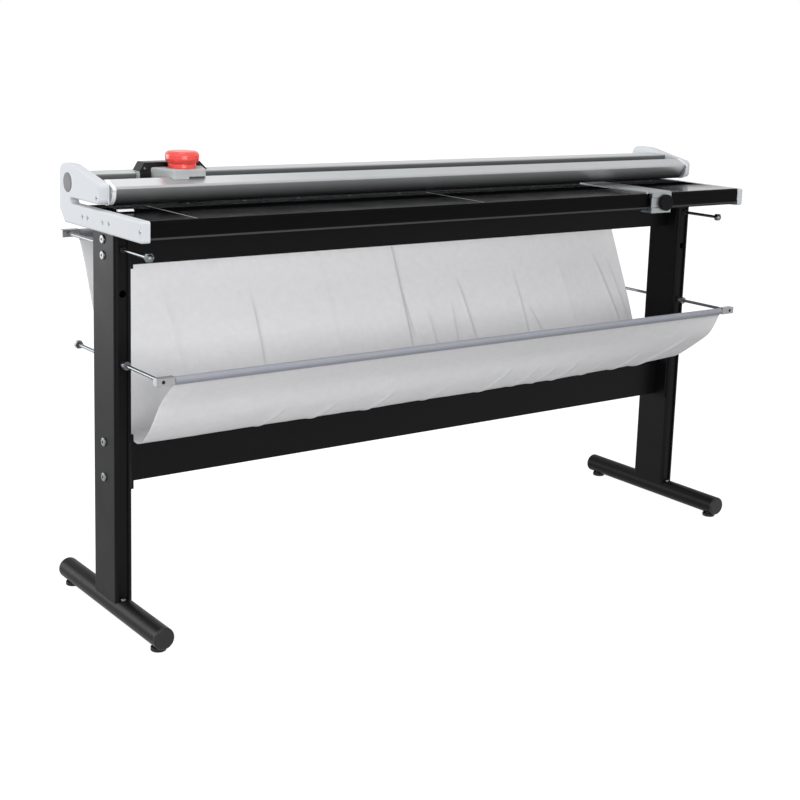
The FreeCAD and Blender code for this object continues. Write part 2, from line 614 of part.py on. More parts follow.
def beam_bolts():
    """Low round-headed bolts through the columns into the beams' end plates."""
    bolts = []
    for z in BEAM_BOLT_ZS:
        seat = COLUMN_OUTER_X
        face = seat + BEAM_BOLT_HEAD_HEIGHT
        head = rod(BEAM_BOLT_HEAD_RADIUS, V(seat, 0, z), X_AXIS, BEAM_BOLT_HEAD_HEIGHT)
        head = head.makeFillet(BEAM_BOLT_EDGE_RADIUS, [e for e in head.Edges if e.BoundBox.XMin > face - 0.1])
        head = head.cut(hexagon(BEAM_BOLT_SOCKET_FLATS, V(face, 0, z), -X_AXIS, SOCKET_DEPTH))
        tip = COLUMN_INNER_X - END_PLATE_THICKNESS
        shank = rod(BEAM_BOLT_RADIUS, V(tip, 0, z), X_AXIS, seat - tip)
        bolts.extend(both_ends(head.fuse(shank)))
    return bolts


# Paper basket

def basket_rods(z, bar_side):
    """Two rods through the columns; bar_side is -1 where they carry the front bar."""
    start = V(COLUMN_CENTRE_X, bar_side * ROD_BAR_END, z)
    return both_ends(rod(ROD_RADIUS, start, V(0, -bar_side, 0), ROD_BAR_END + ROD_FREE_END))


def rod_bushes():
    bushes = []
    for z in (UPPER_ROD_Z, LOWER_ROD_Z):
        for side in SIDES:
            start = V(COLUMN_CENTRE_X, side * COLUMN_FACE_Y, z)
            outwards = V(0, side, 0)
            sleeve = rod(COLUMN_HOLE_RADIUS - SEAT_GAP, start, -outwards, BUSH_LENGTH)
            flange = Part.makeCone(BUSH_FLANGE_RADIUS, ROD_RADIUS + BUSH_NOSE_WALL, BUSH_FLANGE_LENGTH,
                                   start, outwards)
            bore = rod(ROD_RADIUS + SEAT_GAP, start - outwards * BUSH_LENGTH, outwards,
                       BUSH_LENGTH + BUSH_FLANGE_LENGTH)
            bushes.extend(both_ends(sleeve.fuse(flange).cut(bore)))
    return bushes


def rod_nuts():
    """A domed nut on the free end of each rod."""
    nuts = []
    for z, bar_side in ((LOWER_ROD_Z, -1), (UPPER_ROD_Z, 1)):
        free = V(0, -bar_side, 0)
        nut_face = ROD_FREE_REACH - ROD_NUT_LENGTH
        start = V(COLUMN_CENTRE_X, -bar_side * nut_face, z)
        prism = hexagon(ROD_NUT_FLATS, start, free, ROD_NUT_LENGTH * 0.6)
        dome_centre = start + free * (ROD_NUT_LENGTH * 0.4)
        dome = Part.makeSphere(ROD_NUT_FLATS / 2, dome_centre)
        keep = rod(ROD_NUT_FLATS, start, free, ROD_NUT_LENGTH)
        nut = prism.fuse(dome.common(keep))
        hole_length = ROD_FREE_END - nut_face + SEAT_GAP
        nuts.extend(both_ends(nut.cut(rod(ROD_RADIUS + SEAT_GAP, start, free, hole_length))))
    return nuts


def rod_collars():
    """Set collars that hold each rod against its bush, on the side of the bar."""
    collars = []
    for z, bar_side in ((LOWER_ROD_Z, -1), (UPPER_ROD_Z, 1)):
        start = V(COLUMN_CENTRE_X, bar_side * (COLUMN_FACE_Y + BUSH_FLANGE_LENGTH), z)
        axis = V(0, bar_side, 0)
        collars.extend(both_ends(ring(COLLAR_RADIUS, ROD_RADIUS + SEAT_GAP, start, axis, COLLAR_LENGTH)))
    return collars


def bar_places():
    return ((-BAR_Y, LOWER_ROD_Z), (BAR_Y, UPPER_ROD_Z))


def basket_bar(y, z):
    half = BLOCK_INNER_X + BAR_BLOCK_SEAT
    return ring(BAR_RADIUS, BAR_RADIUS - BAR_WALL, V(-half, y, z), X_AXIS, 2 * half)


def clamp_blocks():
    """Blocks that join each bar to the ends of its rods."""
    blocks = []
    for y, z in bar_places():
        side = math.copysign(1, y)
        half = BLOCK_SIDE / 2
        block = box(BLOCK_INNER_X, BLOCK_OUTER_X, y - half, y + half, z - half, z + half)
        block = block.makeFillet(1.0, block.Edges)
        bar_seat = rod(BAR_RADIUS + SEAT_GAP, V(BLOCK_INNER_X, y, z), X_AXIS, BAR_BLOCK_SEAT + SEAT_GAP)
        block = block.cut(bar_seat)
        outside = V(COLUMN_CENTRE_X, side * (BAR_Y + half), z)
        inwards = V(0, -side, 0)
        inner_end = V(COLUMN_CENTRE_X, side * (BAR_Y - half), z)
        block = block.cut(rod(ROD_RADIUS + SEAT_GAP, inner_end, -inwards, ROD_BLOCK_SEAT + SEAT_GAP))
        head_seat = rod(ROD_SCREW_HEAD_RADIUS + SEAT_GAP, outside, inwards,
                        ROD_SCREW_SINK + ROD_SCREW_HEAD_LENGTH)
        block = block.cut(head_seat)
        block = block.cut(rod(ROD_SCREW_RADIUS + SEAT_GAP, outside, inwards, BLOCK_SIDE))
        blocks.extend(both_ends(block))
    return blocks


def clamp_screws():
    """Socket screws, sunk in the blocks, that pull each block onto its rod."""
    screws = []
    for y, z in bar_places():
        side = math.copysign(1, y)
        inwards = V(0, -side, 0)
        outside = V(COLUMN_CENTRE_X, side * (BAR_Y + BLOCK_SIDE / 2 - ROD_SCREW_SINK), z)
        head = rod(ROD_SCREW_HEAD_RADIUS, outside, inwards, ROD_SCREW_HEAD_LENGTH - SEAT_GAP)
        head = head.cut(hexagon(SOCKET_FLATS, outside, inwards, SOCKET_DEPTH))
        shank_length = BLOCK_SIDE - ROD_BLOCK_SEAT - ROD_SCREW_SINK - SEAT_GAP
        shank_start = outside + inwards * (ROD_SCREW_HEAD_LENGTH - 1.0)
        shank = rod(ROD_SCREW_RADIUS, shank_start, inwards, shank_length - ROD_SCREW_HEAD_LENGTH + 1.0)
        screws.extend(both_ends(head.fuse(shank)))
    return screws


def fold_height(x, folds, end):
    """How far the folds stand off the cloth at x; end is 0 for their upper end, 1 for their lower one."""
    total = 0.0
    for fold in folds:
        distance = (x - fold[end]) / FOLD_HALF_WIDTH
        total += fold[2] * math.exp(-distance * distance)
    return total


def cloth_line(x):
    """The cloth's middle line at one place along X, as (y, z) points from the back bar to the front."""
    reach = x / CLOTH_HALF_WIDTH
    tight = max(0.0, reach) ** 3
    lift = 2.0 * (1.0 + reach) + 15.0 * tight
    back_top = fold_height(x, BACK_FOLDS, 0)
    back_foot = fold_height(x, BACK_FOLDS, 1)
    front_top = fold_height(x, FRONT_FOLDS, 0)
    front_foot = fold_height(x, FRONT_FOLDS, 1)
    return (
        (BAR_Y + 1.0, UPPER_ROD_Z - 7.0),
        (BAR_Y - 33.0, UPPER_ROD_Z - 73.0),
        (BAR_Y - 68.0 - back_top * 0.5, UPPER_ROD_Z - 153.0),
        (BAR_Y - 120.0 - back_top, LOWER_ROD_Z - 27.0),
        (67.0 - back_foot * 0.6, LOWER_BEAM_TOP_Z + 46.0 + back_foot * 0.3),
        (28.0, LOWER_BEAM_TOP_Z + 11.0 + lift),
        (-22.0, LOWER_BEAM_TOP_Z + 4.0 + lift),
        (-72.0 - 3.0 * tight, LOWER_BEAM_TOP_Z + 1.0 + lift + front_foot * 0.6),
        (-122.0 - 18.0 * tight + front_top, LOWER_BEAM_TOP_Z + 45.0 + 17.0 * tight),
        (-166.0 - 30.0 * tight + front_top * 0.5, LOWER_BEAM_TOP_Z + 106.0 + 2.0 * tight),
        (-BAR_Y + 1.0, LOWER_ROD_Z - 7.0),
    )


def cloth_section(x):
    """A closed wire round the cloth's thickness: arcs on both faces and a short line at each end."""
    line = cloth_line(x)
    half = CLOTH_THICKNESS / 2
    faces = []
    for side in SIDES:
        face = []
        for i, point in enumerate(line):
            before = line[max(i - 1, 0)]
            after = line[min(i + 1, len(line) - 1)]
            dy = after[0] - before[0]
            dz = after[1] - before[1]
            size = math.hypot(dy, dz)
            face.append(V(x, point[0] - side * half * dz / size, point[1] + side * half * dy / size))
        faces.append(face)
    edges = []
    for face in (faces[0], faces[1][::-1]):
        for i in range(0, len(face) - 2, 2):
            edges.append(Part.Arc(face[i], face[i + 1], face[i + 2]).toShape())
    back = Part.makeLine(faces[1][0], faces[0][0])
    front = Part.makeLine(faces[0][-1], faces[1][-1])
    half_count = len(edges) // 2
    return Part.Wire(edges[:half_count] + [front] + edges[half_count:] + [back])


def catch_cloth():
    """The hung cloth with its main folds, and the sleeves that the two bars run through."""
    step = 2 * CLOTH_HALF_WIDTH / (CLOTH_SECTION_COUNT - 1)
    sections = []
    for i in range(CLOTH_SECTION_COUNT):
        sections.append(cloth_section(-CLOTH_HALF_WIDTH + step * i))
    sheet = Part.makeLoft(sections, True, True)
    inner = BAR_RADIUS + SEAT_GAP
    for y, z in bar_places():
        start = V(-CLOTH_HALF_WIDTH, y, z)
        sleeve = ring(inner + SLEEVE_WALL, inner, start, X_AXIS, 2 * CLOTH_HALF_WIDTH)
        sheet = sheet.cut(rod(inner, start, X_AXIS, 2 * CLOTH_HALF_WIDTH)).fuse(sleeve)
    return sheet


# Table

def table_front_profile():
    """The black front edge of the table: a hollow section with a fine line and a proud lip."""
    front = TABLE_FRONT_Y
    recessed = front + FRONT_LIP_STEP
    lip = TABLE_BOTTOM_Z + FRONT_LIP_HEIGHT
    line_top = TABLE_TOP_Z - FRONT_LINE_DROP
    line_low = line_top - FRONT_LINE_HEIGHT
    section = (
        (front + 1.0, TABLE_BOTTOM_Z), (PROFILE_BACK_Y, TABLE_BOTTOM_Z), (PROFILE_BACK_Y, TABLE_TOP_Z),
        (recessed + 1.5, TABLE_TOP_Z), (recessed, TABLE_TOP_Z - 1.5), (recessed, line_top),
        (recessed + FRONT_LINE_DEPTH, line_top), (recessed + FRONT_LINE_DEPTH, line_low),
        (recessed, line_low), (recessed, lip + FRONT_LIP_STEP), (front, lip), (front, TABLE_BOTTOM_Z + 1.0),
    )
    body = bar_x(section, -TABLE_HALF_LENGTH, TABLE_HALF_LENGTH)
    wall = FRONT_PROFILE_WALL
    port = BRACKET_SCREW_RADIUS + 3.0
    rooms = ((TABLE_BOTTOM_Z + wall, LOWER_SCREW_Z - port), (LOWER_SCREW_Z + port, TABLE_TOP_Z - wall))
    for low, high in rooms:
        body = body.cut(box(-TABLE_HALF_LENGTH, TABLE_HALF_LENGTH, recessed + wall, PROFILE_BACK_Y - wall,
                            low, high))
    hole = rod(BRACKET_SCREW_RADIUS + SEAT_GAP, V(-TABLE_HALF_LENGTH, PROFILE_SCREW_Y, LOWER_SCREW_Z),
               X_AXIS, 2 * TABLE_HALF_LENGTH)
    return body.cut(hole)


def inlay(x):
    half = INLAY_WIDTH / 2
    return box(x - half, x + half, PROFILE_BACK_Y, COUNTER_BLADE_FRONT_Y, TABLE_TOP_Z - INLAY_DEPTH,
               TABLE_TOP_Z)


def table_board():
    board = box(-TABLE_HALF_LENGTH, TABLE_HALF_LENGTH, PROFILE_BACK_Y, COUNTER_BLADE_FRONT_Y, BOARD_BOTTOM_Z,
                TABLE_TOP_Z)
    for x in INLAY_POSITIONS:
        board = board.cut(inlay(x))
    return board


def table_tray():
    """Folded sheet under the board, with a flange down at the back."""
    top = box(-TABLE_HALF_LENGTH, TABLE_HALF_LENGTH, PROFILE_BACK_Y, COUNTER_BLADE_FRONT_Y, RIB_TOP_Z,
              BOARD_BOTTOM_Z)
    flange = box(-TABLE_HALF_LENGTH, TABLE_HALF_LENGTH, COUNTER_BLADE_FRONT_Y - TRAY_SHEET,
                 COUNTER_BLADE_FRONT_Y, BLADE_BAR_BOTTOM_Z, RIB_TOP_Z)
    return top.fuse(flange).removeSplitter()


def table_ribs():
    """Hollow ribs across the table; the outer two stand on the columns."""
    ribs = []
    front = PROFILE_BACK_Y
    back = COUNTER_BLADE_FRONT_Y - TRAY_SHEET
    half = RIB_WIDTH / 2
    room = half - TRAY_SHEET
    outer = TABLE_HALF_LENGTH - half
    for i in range(RIB_COUNT):
        x = outer * (2 * i / (RIB_COUNT - 1) - 1)
        rib = box(x - half, x + half, front, back, TABLE_BOTTOM_Z, RIB_TOP_Z)
        rib = rib.cut(box(x - room, x + room, front, back, TABLE_BOTTOM_Z + TRAY_SHEET,
                          RIB_TOP_Z - TRAY_SHEET))
        if i in (0, RIB_COUNT - 1):
            side = math.copysign(1, x)
            for y in RIB_SCREW_YS:
                start = V(side * TABLE_HALF_LENGTH, y, LOWER_SCREW_Z)
                hole = rod(BRACKET_SCREW_RADIUS + SEAT_GAP, start, V(-side, 0, 0), BRACKET_SCREW_REACH)
                rib = rib.cut(hole)
        ribs.append(rib)
    return ribs


def counter_screw_xs():
    step = 2 * TABLE_HALF_LENGTH / COUNTER_SCREW_COUNT
    return [-TABLE_HALF_LENGTH + step * (i + 0.5) for i in range(COUNTER_SCREW_COUNT)]


def counter_blade_bar():
    """The stiff bar under the fixed blade, with a slot for the round blade and a ledge behind it."""
    top = BLADE_BAR_TOP_Z
    section = (
        (COUNTER_BLADE_FRONT_Y, BLADE_BAR_BOTTOM_Z), (BLADE_BAR_BACK_Y, BLADE_BAR_BOTTOM_Z),
        (BLADE_BAR_BACK_Y, BLADE_LEDGE_Z), (BLADE_SLOT_BACK_Y, BLADE_LEDGE_Z),
        (BLADE_SLOT_BACK_Y, BLADE_BAR_STEP_Z), (CUT_Y, BLADE_BAR_STEP_Z), (CUT_Y, top),
        (COUNTER_BLADE_FRONT_Y, top),
    )
    bar = bar_x(section, -TABLE_HALF_LENGTH, TABLE_HALF_LENGTH)
    for side in SIDES:
        for y in BAR_SCREW_YS:
            start = V(side * TABLE_HALF_LENGTH, y, LOWER_SCREW_Z)
            bar = bar.cut(rod(BRACKET_SCREW_RADIUS + SEAT_GAP, start, V(-side, 0, 0), BRACKET_SCREW_REACH))
    for x in counter_screw_xs():
        bar = bar.cut(counter_screw(x, SEAT_GAP))
    return bar


def counter_screw(x, extra):
    """A countersunk screw just under the top of the fixed blade; extra makes its seat."""
    y = (COUNTER_BLADE_FRONT_Y + CUT_Y) / 2
    radius = COUNTER_SCREW_RADIUS + extra
    head_radius = radius + COUNTER_SCREW_HEAD_DEPTH
    top = TABLE_TOP_Z - COUNTER_SCREW_SINK
    neck = top - COUNTER_SCREW_HEAD_DEPTH
    bottom = top - COUNTER_SCREW_LENGTH
    head = Part.makeCone(radius, head_radius, COUNTER_SCREW_HEAD_DEPTH, V(x, y, neck), Z_AXIS)
    screw = head.fuse(rod(radius, V(x, y, bottom), Z_AXIS, neck - bottom))
    if extra > 0:
        screw = screw.fuse(rod(head_radius, V(x, y, top), Z_AXIS, COUNTER_SCREW_SINK))
    return screw


def counter_screws():
    return [counter_screw(x, 0.0) for x in counter_screw_xs()]


def counter_blade():
    """The fixed steel blade, screwed flush into the table along the cut."""
    blade = box(-TABLE_HALF_LENGTH, TABLE_HALF_LENGTH, COUNTER_BLADE_FRONT_Y, CUT_Y,
                BLADE_BAR_TOP_Z, TABLE_TOP_Z)
    for x in counter_screw_xs():
        blade = blade.cut(counter_screw(x, SEAT_GAP))
    return blade


# End brackets

def bracket_section():
    """The outline: a lower arm beside the table, a slit for the paper, an upper arm for the rails."""
    bottom = TABLE_BOTTOM_Z - BRACKET_DROP
    slit_top = TABLE_TOP_Z + SLIT_HEIGHT
    slit_middle = TABLE_TOP_Z + SLIT_HEIGHT / 2
    back = BRACKET_BACK_Y
    top = BRACKET_TOP_Z
    nose = NOSE_Y
    return (
        (TABLE_FRONT_Y + 5.0, bottom), (back - 26.0, bottom), (back, bottom + 28.0), (back, top - 24.0),
        (back - 7.0, top - 7.0, "arc"), (back - 24.0, top), (SLIT_END_Y + 8.0, top),
        (SLIT_END_Y - 6.0, top - 1.2, "arc"), (SLIT_END_Y - 20.0, top - 4.0), (nose + 14.0, top - 25.5),
        (nose + 3.6, top - 30.0, "arc"), (nose, top - 39.0), (nose, slit_top + 12.0),
        (nose + 3.5, slit_top + 3.5, "arc"), (nose + 12.0, slit_top), (SLIT_END_Y, slit_top),
        (SLIT_END_Y + SLIT_HEIGHT / 2, slit_middle, "arc"), (SLIT_END_Y, TABLE_TOP_Z),
        (TABLE_FRONT_Y + 5.0, TABLE_TOP_Z), (TABLE_FRONT_Y + 1.5, TABLE_TOP_Z - 1.5, "arc"),
        (TABLE_FRONT_Y, TABLE_TOP_Z - 5.0), (TABLE_FRONT_Y, bottom + 5.0),
        (TABLE_FRONT_Y + 1.5, bottom + 1.5, "arc"),
    )


def bracket():
    """The right-hand end bracket, with a rounded outer edge, screw seats and the round cap's seat."""
    body = bar_x(bracket_section(), TABLE_HALF_LENGTH, BRACKET_OUTER_X)
    rim = [e for e in body.Edges if e.BoundBox.XMin > BRACKET_OUTER_X - 0.1]
    rim = [e for e in rim if not (TABLE_TOP_Z - 0.1 < e.BoundBox.Center.z < TABLE_TOP_Z + SLIT_HEIGHT + 0.1
                                  and e.BoundBox.YMax > NOSE_Y + 20.0 and e.BoundBox.YMin > NOSE_Y - 1.0)]
    body = body.makeFillet(BRACKET_EDGE_RADIUS, rim)
    for y, z, _ in bracket_screw_places():
        head_seat = V(BRACKET_SCREW_SEAT_X, y, z)
        inside = V(TABLE_HALF_LENGTH, y, z)
        body = body.cut(rod(BRACKET_SCREW_HEAD_RADIUS + SEAT_GAP, head_seat, X_AXIS, BRACKET_THICKNESS))
        body = body.cut(rod(BRACKET_SCREW_RADIUS + SEAT_GAP, inside, X_AXIS, BRACKET_THICKNESS))
    disc_seat = V(BRACKET_OUTER_X - DISC_DEPTH, DISC_Y, DISC_Z)
    return body.cut(rod(DISC_RADIUS + SEAT_GAP, disc_seat, X_AXIS, DISC_DEPTH + DISC_PROUD))


def bracket_screw_places():
    """The screws of one bracket, as (y, z, how far the hole for the screw reaches past the bracket)."""
    lower = BAR_SCREW_YS + RIB_SCREW_YS + (PROFILE_SCREW_Y,)
    places = [(y, LOWER_SCREW_Z, BRACKET_SCREW_REACH) for y in lower]
    places.append((NOSE_SCREW_Y, NOSE_SCREW_Z, NOSE_SCREW_REACH))
    return places


def bracket_screws():
    """Socket screws that hold the brackets to the table and to the front rail's end caps."""
    screws = []
    for y, z, reach in bracket_screw_places():
        seat = V(BRACKET_SCREW_SEAT_X, y, z)
        head = rod(BRACKET_SCREW_HEAD_RADIUS, seat, X_AXIS, BRACKET_SCREW_HEAD_DEPTH)
        outside = seat + X_AXIS * BRACKET_SCREW_HEAD_DEPTH
        head = head.cut(hexagon(SOCKET_FLATS, outside, -X_AXIS, SOCKET_DEPTH))
        length = BRACKET_SCREW_SEAT_X - TABLE_HALF_LENGTH + reach - SLIDE_GAP
        screws.extend(both_ends(head.fuse(rod(BRACKET_SCREW_RADIUS, seat, -X_AXIS, length))))
    return screws


def disc_caps():
    """Round caps let into the outer face of each bracket."""
    disc = rod(DISC_RADIUS, V(BRACKET_OUTER_X - DISC_DEPTH, DISC_Y, DISC_Z), X_AXIS, DISC_DEPTH + DISC_PROUD)
    rim = [e for e in disc.Edges if e.BoundBox.XMin > BRACKET_OUTER_X + DISC_PROUD - 0.1]
    return both_ends(disc.makeFillet(0.8, rim))


# Rails

def front_rail_roof(y):
    """The height of the front rail's sloping top at y."""
    return RAIL_TOP_Z - FRONT_RAIL_SLOPE * (CHANNEL_FRONT_Y - y)


def front_rail_outline():
    front = FRONT_RAIL_FRONT_Y
    shoulder = FRONT_RAIL_SHOULDER_Z
    return (
        (CHANNEL_FRONT_Y, FRONT_RAIL_BOTTOM_Z), (CHANNEL_FRONT_Y, RAIL_TOP_Z),
        (FRONT_RAIL_SHOULDER_Y, shoulder), (front + 0.55, shoulder - 2.6, "arc"),
        (front + 0.35, shoulder - 6.0),
        (front + 8.4, FRONT_RAIL_BOTTOM_Z + 14.5, "arc"), (CHANNEL_FRONT_Y - 8.0, FRONT_RAIL_BOTTOM_Z),
    )


def front_rail():
    """The slim front rail: a hollow section with a sloping top and a groove for the rollers behind."""
    half = TABLE_HALF_LENGTH - RAIL_CAP_LENGTH
    body = bar_x(front_rail_outline(), -half, half)
    low = GROOVE_CENTRE_Z - GROOVE_HEIGHT / 2
    groove_bottom = CHANNEL_FRONT_Y - GROOVE_DEPTH + 1.0
    body = body.cut(box(-half, half, groove_bottom, CHANNEL_FRONT_Y, low, low + GROOVE_HEIGHT))
    front = FRONT_RAIL_SHOULDER_Y + RAIL_WALL
    back = groove_bottom - RAIL_WALL
    roof = RAIL_WALL * math.hypot(1.0, FRONT_RAIL_SLOPE)
    nose = FRONT_RAIL_SHOULDER_Z - 8.0
    room = (
        (back, FRONT_RAIL_BOTTOM_Z + 9.0), (back, front_rail_roof(back) - roof),
        (front, front_rail_roof(front) - roof), (front - 1.0, nose),
        (front + 3.5, FRONT_RAIL_BOTTOM_Z + 18.0, "arc"),
    )
    return body.cut(bar_x(room, -half, half))


def front_rail_caps():
    """White end caps, proud of the front rail in front and below, each with an upright slot."""
    half = TABLE_HALF_LENGTH - RAIL_CAP_LENGTH
    end = TABLE_HALF_LENGTH
    front = CAP_FRONT_Y
    shoulder = FRONT_RAIL_SHOULDER_Z
    outline = (
        (CHANNEL_FRONT_Y, FRONT_RAIL_BOTTOM_Z), (CHANNEL_FRONT_Y, RAIL_TOP_Z),
        (front + 3.0, front_rail_roof(front + 3.0)), (front, shoulder - 5.0, "arc"),
        (front + 0.8, shoulder - 10.5), (front + 5.0, FRONT_RAIL_BOTTOM_Z + 12.0, "arc"),
        (front + 21.0, FRONT_RAIL_BOTTOM_Z),
    )
    cap = bar_x(outline, half, end)
    hole = rod(BRACKET_SCREW_RADIUS + SEAT_GAP, V(end, NOSE_SCREW_Y, NOSE_SCREW_Z), -X_AXIS,
               NOSE_SCREW_REACH)
    face = end - CAP_RECESS
    recess = box(face, end, front - 1.0, NOSE_Y + 1.0, FRONT_RAIL_BOTTOM_Z, RAIL_TOP_Z)
    slot_y = front + CAP_SLOT_INSET
    slot_z = shoulder - CAP_SLOT_DROP
    slot = box(face - CAP_SLOT_DEPTH, face, slot_y, slot_y + CAP_SLOT_WIDTH, slot_z,
               slot_z + CAP_SLOT_HEIGHT)
    return both_ends(cap.cut([hole, recess, slot]))


def rear_rail():
    """The box-shaped rear rail, with a rounded front edge and a groove for the rollers."""
    half = TABLE_HALF_LENGTH
    top = REAR_RAIL_TOP_Z
    bottom = REAR_RAIL_BOTTOM_Z
    outline = (
        (CHANNEL_BACK_Y, bottom), (REAR_RAIL_BACK_Y, bottom), (REAR_RAIL_BACK_Y, top - 4.0),
        (REAR_RAIL_BACK_Y - 1.2, top - 1.2, "arc"), (REAR_RAIL_BACK_Y - 4.0, top),
        (CHANNEL_BACK_Y + 6.0, top), (CHANNEL_BACK_Y + 1.6, top - 1.2, "arc"), (CHANNEL_BACK_Y, top - 4.5),
    )
    body = bar_x(outline, -half, half)
    low = GROOVE_CENTRE_Z - GROOVE_HEIGHT / 2
    groove_bottom = CHANNEL_BACK_Y + GROOVE_DEPTH
    body = body.cut(box(-half, half, CHANNEL_BACK_Y, groove_bottom, low, low + GROOVE_HEIGHT))
    return body.cut(box(-half, half, groove_bottom + RAIL_WALL, REAR_RAIL_BACK_Y - RAIL_WALL,
                        bottom + RAIL_WALL, top - 4.0))


def clamp_strip():
    """The thin clear strip under the front rail that holds the paper down."""
    half = TABLE_HALF_LENGTH - SLIDE_GAP
    back_z = FRONT_RAIL_BOTTOM_Z
    t = STRIP_THICKNESS
    section = (
        (CHANNEL_FRONT_Y, back_z), (STRIP_BACK_Y, back_z), (STRIP_FRONT_Y, STRIP_FRONT_Z + t),
        (STRIP_FRONT_Y, STRIP_FRONT_Z), (STRIP_BACK_Y, back_z - t), (CHANNEL_FRONT_Y, back_z - t),
    )
    return bar_x(section, -half, half)


def strip_tab():
    """The white tab that holds the left end of the clear strip's front edge."""
    left = -TABLE_HALF_LENGTH
    low = STRIP_FRONT_Z - 3.0
    section = ((STRIP_FRONT_Y - 8.0, low), (STRIP_FRONT_Y - SEAT_GAP, low),
               (STRIP_FRONT_Y - SEAT_GAP, low + 4.0), (STRIP_FRONT_Y - 4.0, low + 4.0))
    return bar_x(section, left, left + STRIP_TAB_LENGTH)


def end_buffers():
    """Rubber discs on the brackets that stop the cutting head."""
    start = V(TABLE_HALF_LENGTH - BUFFER_THICKNESS, FRAME_PLATE_Y, GROOVE_CENTRE_Z)
    return both_ends(rod(BUFFER_RADIUS, start, X_AXIS, BUFFER_THICKNESS))


# Cutting head

def carriage_frame():
    """The black body: a plate and an end block in the channel, a bridge and a ridge above them."""
    left = FRAME_LEFT_X
    plate_back = FRAME_PLATE_BACK_Y
    plate = box(PLATE_LEFT_X, PLATE_RIGHT_X, FRAME_PLATE_Y, plate_back, FRAME_BOTTOM_Z, PLATE_TOP_Z)
    neck = box(BRIDGE_LEFT_X, BRIDGE_RIGHT_X, FRAME_PLATE_Y, plate_back, PLATE_TOP_Z, BRIDGE_Z)
    bridge = box(BRIDGE_LEFT_X, BRIDGE_RIGHT_X, FRAME_WALL_Y, RIDGE_FRONT_Y, BRIDGE_Z, BRIDGE_TOP_Z)
    block = box(left, left + END_BLOCK_LENGTH, END_BLOCK_FRONT_Y, END_BLOCK_BACK_Y,
                BRIDGE_Z - END_BLOCK_HEIGHT, BRIDGE_Z)
    ridge_outline = ((RIDGE_LEFT_FOOT_X, BRIDGE_Z), (RIDGE_RIGHT_FOOT_X, BRIDGE_Z),
                     (RIDGE_RIGHT_TOP_X, RIDGE_TOP_Z), (RIDGE_LEFT_TOP_X, RIDGE_TOP_Z))
    ridge = bar_y(ridge_outline, RIDGE_FRONT_Y, RIDGE_BACK_Y)
    boss = rod(KNOB_BOSS_RADIUS, V(HEAD_X, KNOB_Y, BRIDGE_Z), Z_AXIS, HOUSING_TOP_Z - HOUSING_WALL - BRIDGE_Z)
    body = plate.fuse([neck, bridge, block, ridge, boss]).removeSplitter()
    body = body.cut(knob_stem_bore(BRIDGE_Z))
    axle_hole = rod(BLADE_AXLE_RADIUS + SEAT_GAP, V(BLADE_X, FRAME_PLATE_Y, BLADE_Z), Y_AXIS,
                    FRAME_PLATE_THICKNESS)
    body = body.cut(axle_hole)
    for x, (front, back) in zip(ROLLER_XS, AXLE_SEATS):
        start = V(x, front, GROOVE_CENTRE_Z)
        body = body.cut(rod(ROLLER_AXLE_RADIUS + SEAT_GAP, start, Y_AXIS, back - front))
    for x in HOUSING_SCREW_XS:
        start = V(x, HOUSING_SCREW_Y, BRIDGE_Z)
        body = body.cut(rod(HOUSING_SCREW_RADIUS + SEAT_GAP, start, Z_AXIS, BRIDGE_THICKNESS))
    return body


def housing_plan(inset, z0, z1):
    """The grey cover's plan, wider at the back, with its two front corners rounded."""
    front = HOUSING_FRONT_Y + inset
    back = HOUSING_BACK_Y
    depth = back - HOUSING_FRONT_Y
    corners = []
    for side, front_reach, back_reach in ((-1, HOUSING_FRONT_LEFT_REACH, HOUSING_BACK_LEFT_REACH),
                                          (1, HOUSING_FRONT_RIGHT_REACH, HOUSING_BACK_RIGHT_REACH)):
        spread = (back_reach - front_reach) / depth
        shift = inset * math.hypot(1.0, spread)
        near = HEAD_X + side * (front_reach + spread * inset - shift)
        far = HEAD_X + side * (back_reach - shift)
        corners.append((V(near, front, z0), V(far, back, z0)))
    (a, d), (b, c) = corners
    block = Part.Face(Part.makePolygon([a, b, c, d, a])).extrude(V(0, 0, z1 - z0))
    upright = [e for e in block.Edges if e.BoundBox.ZLength > 0.1 and e.BoundBox.YMax < front + 0.1]
    return block.makeFillet(HOUSING_CORNER - inset, upright)


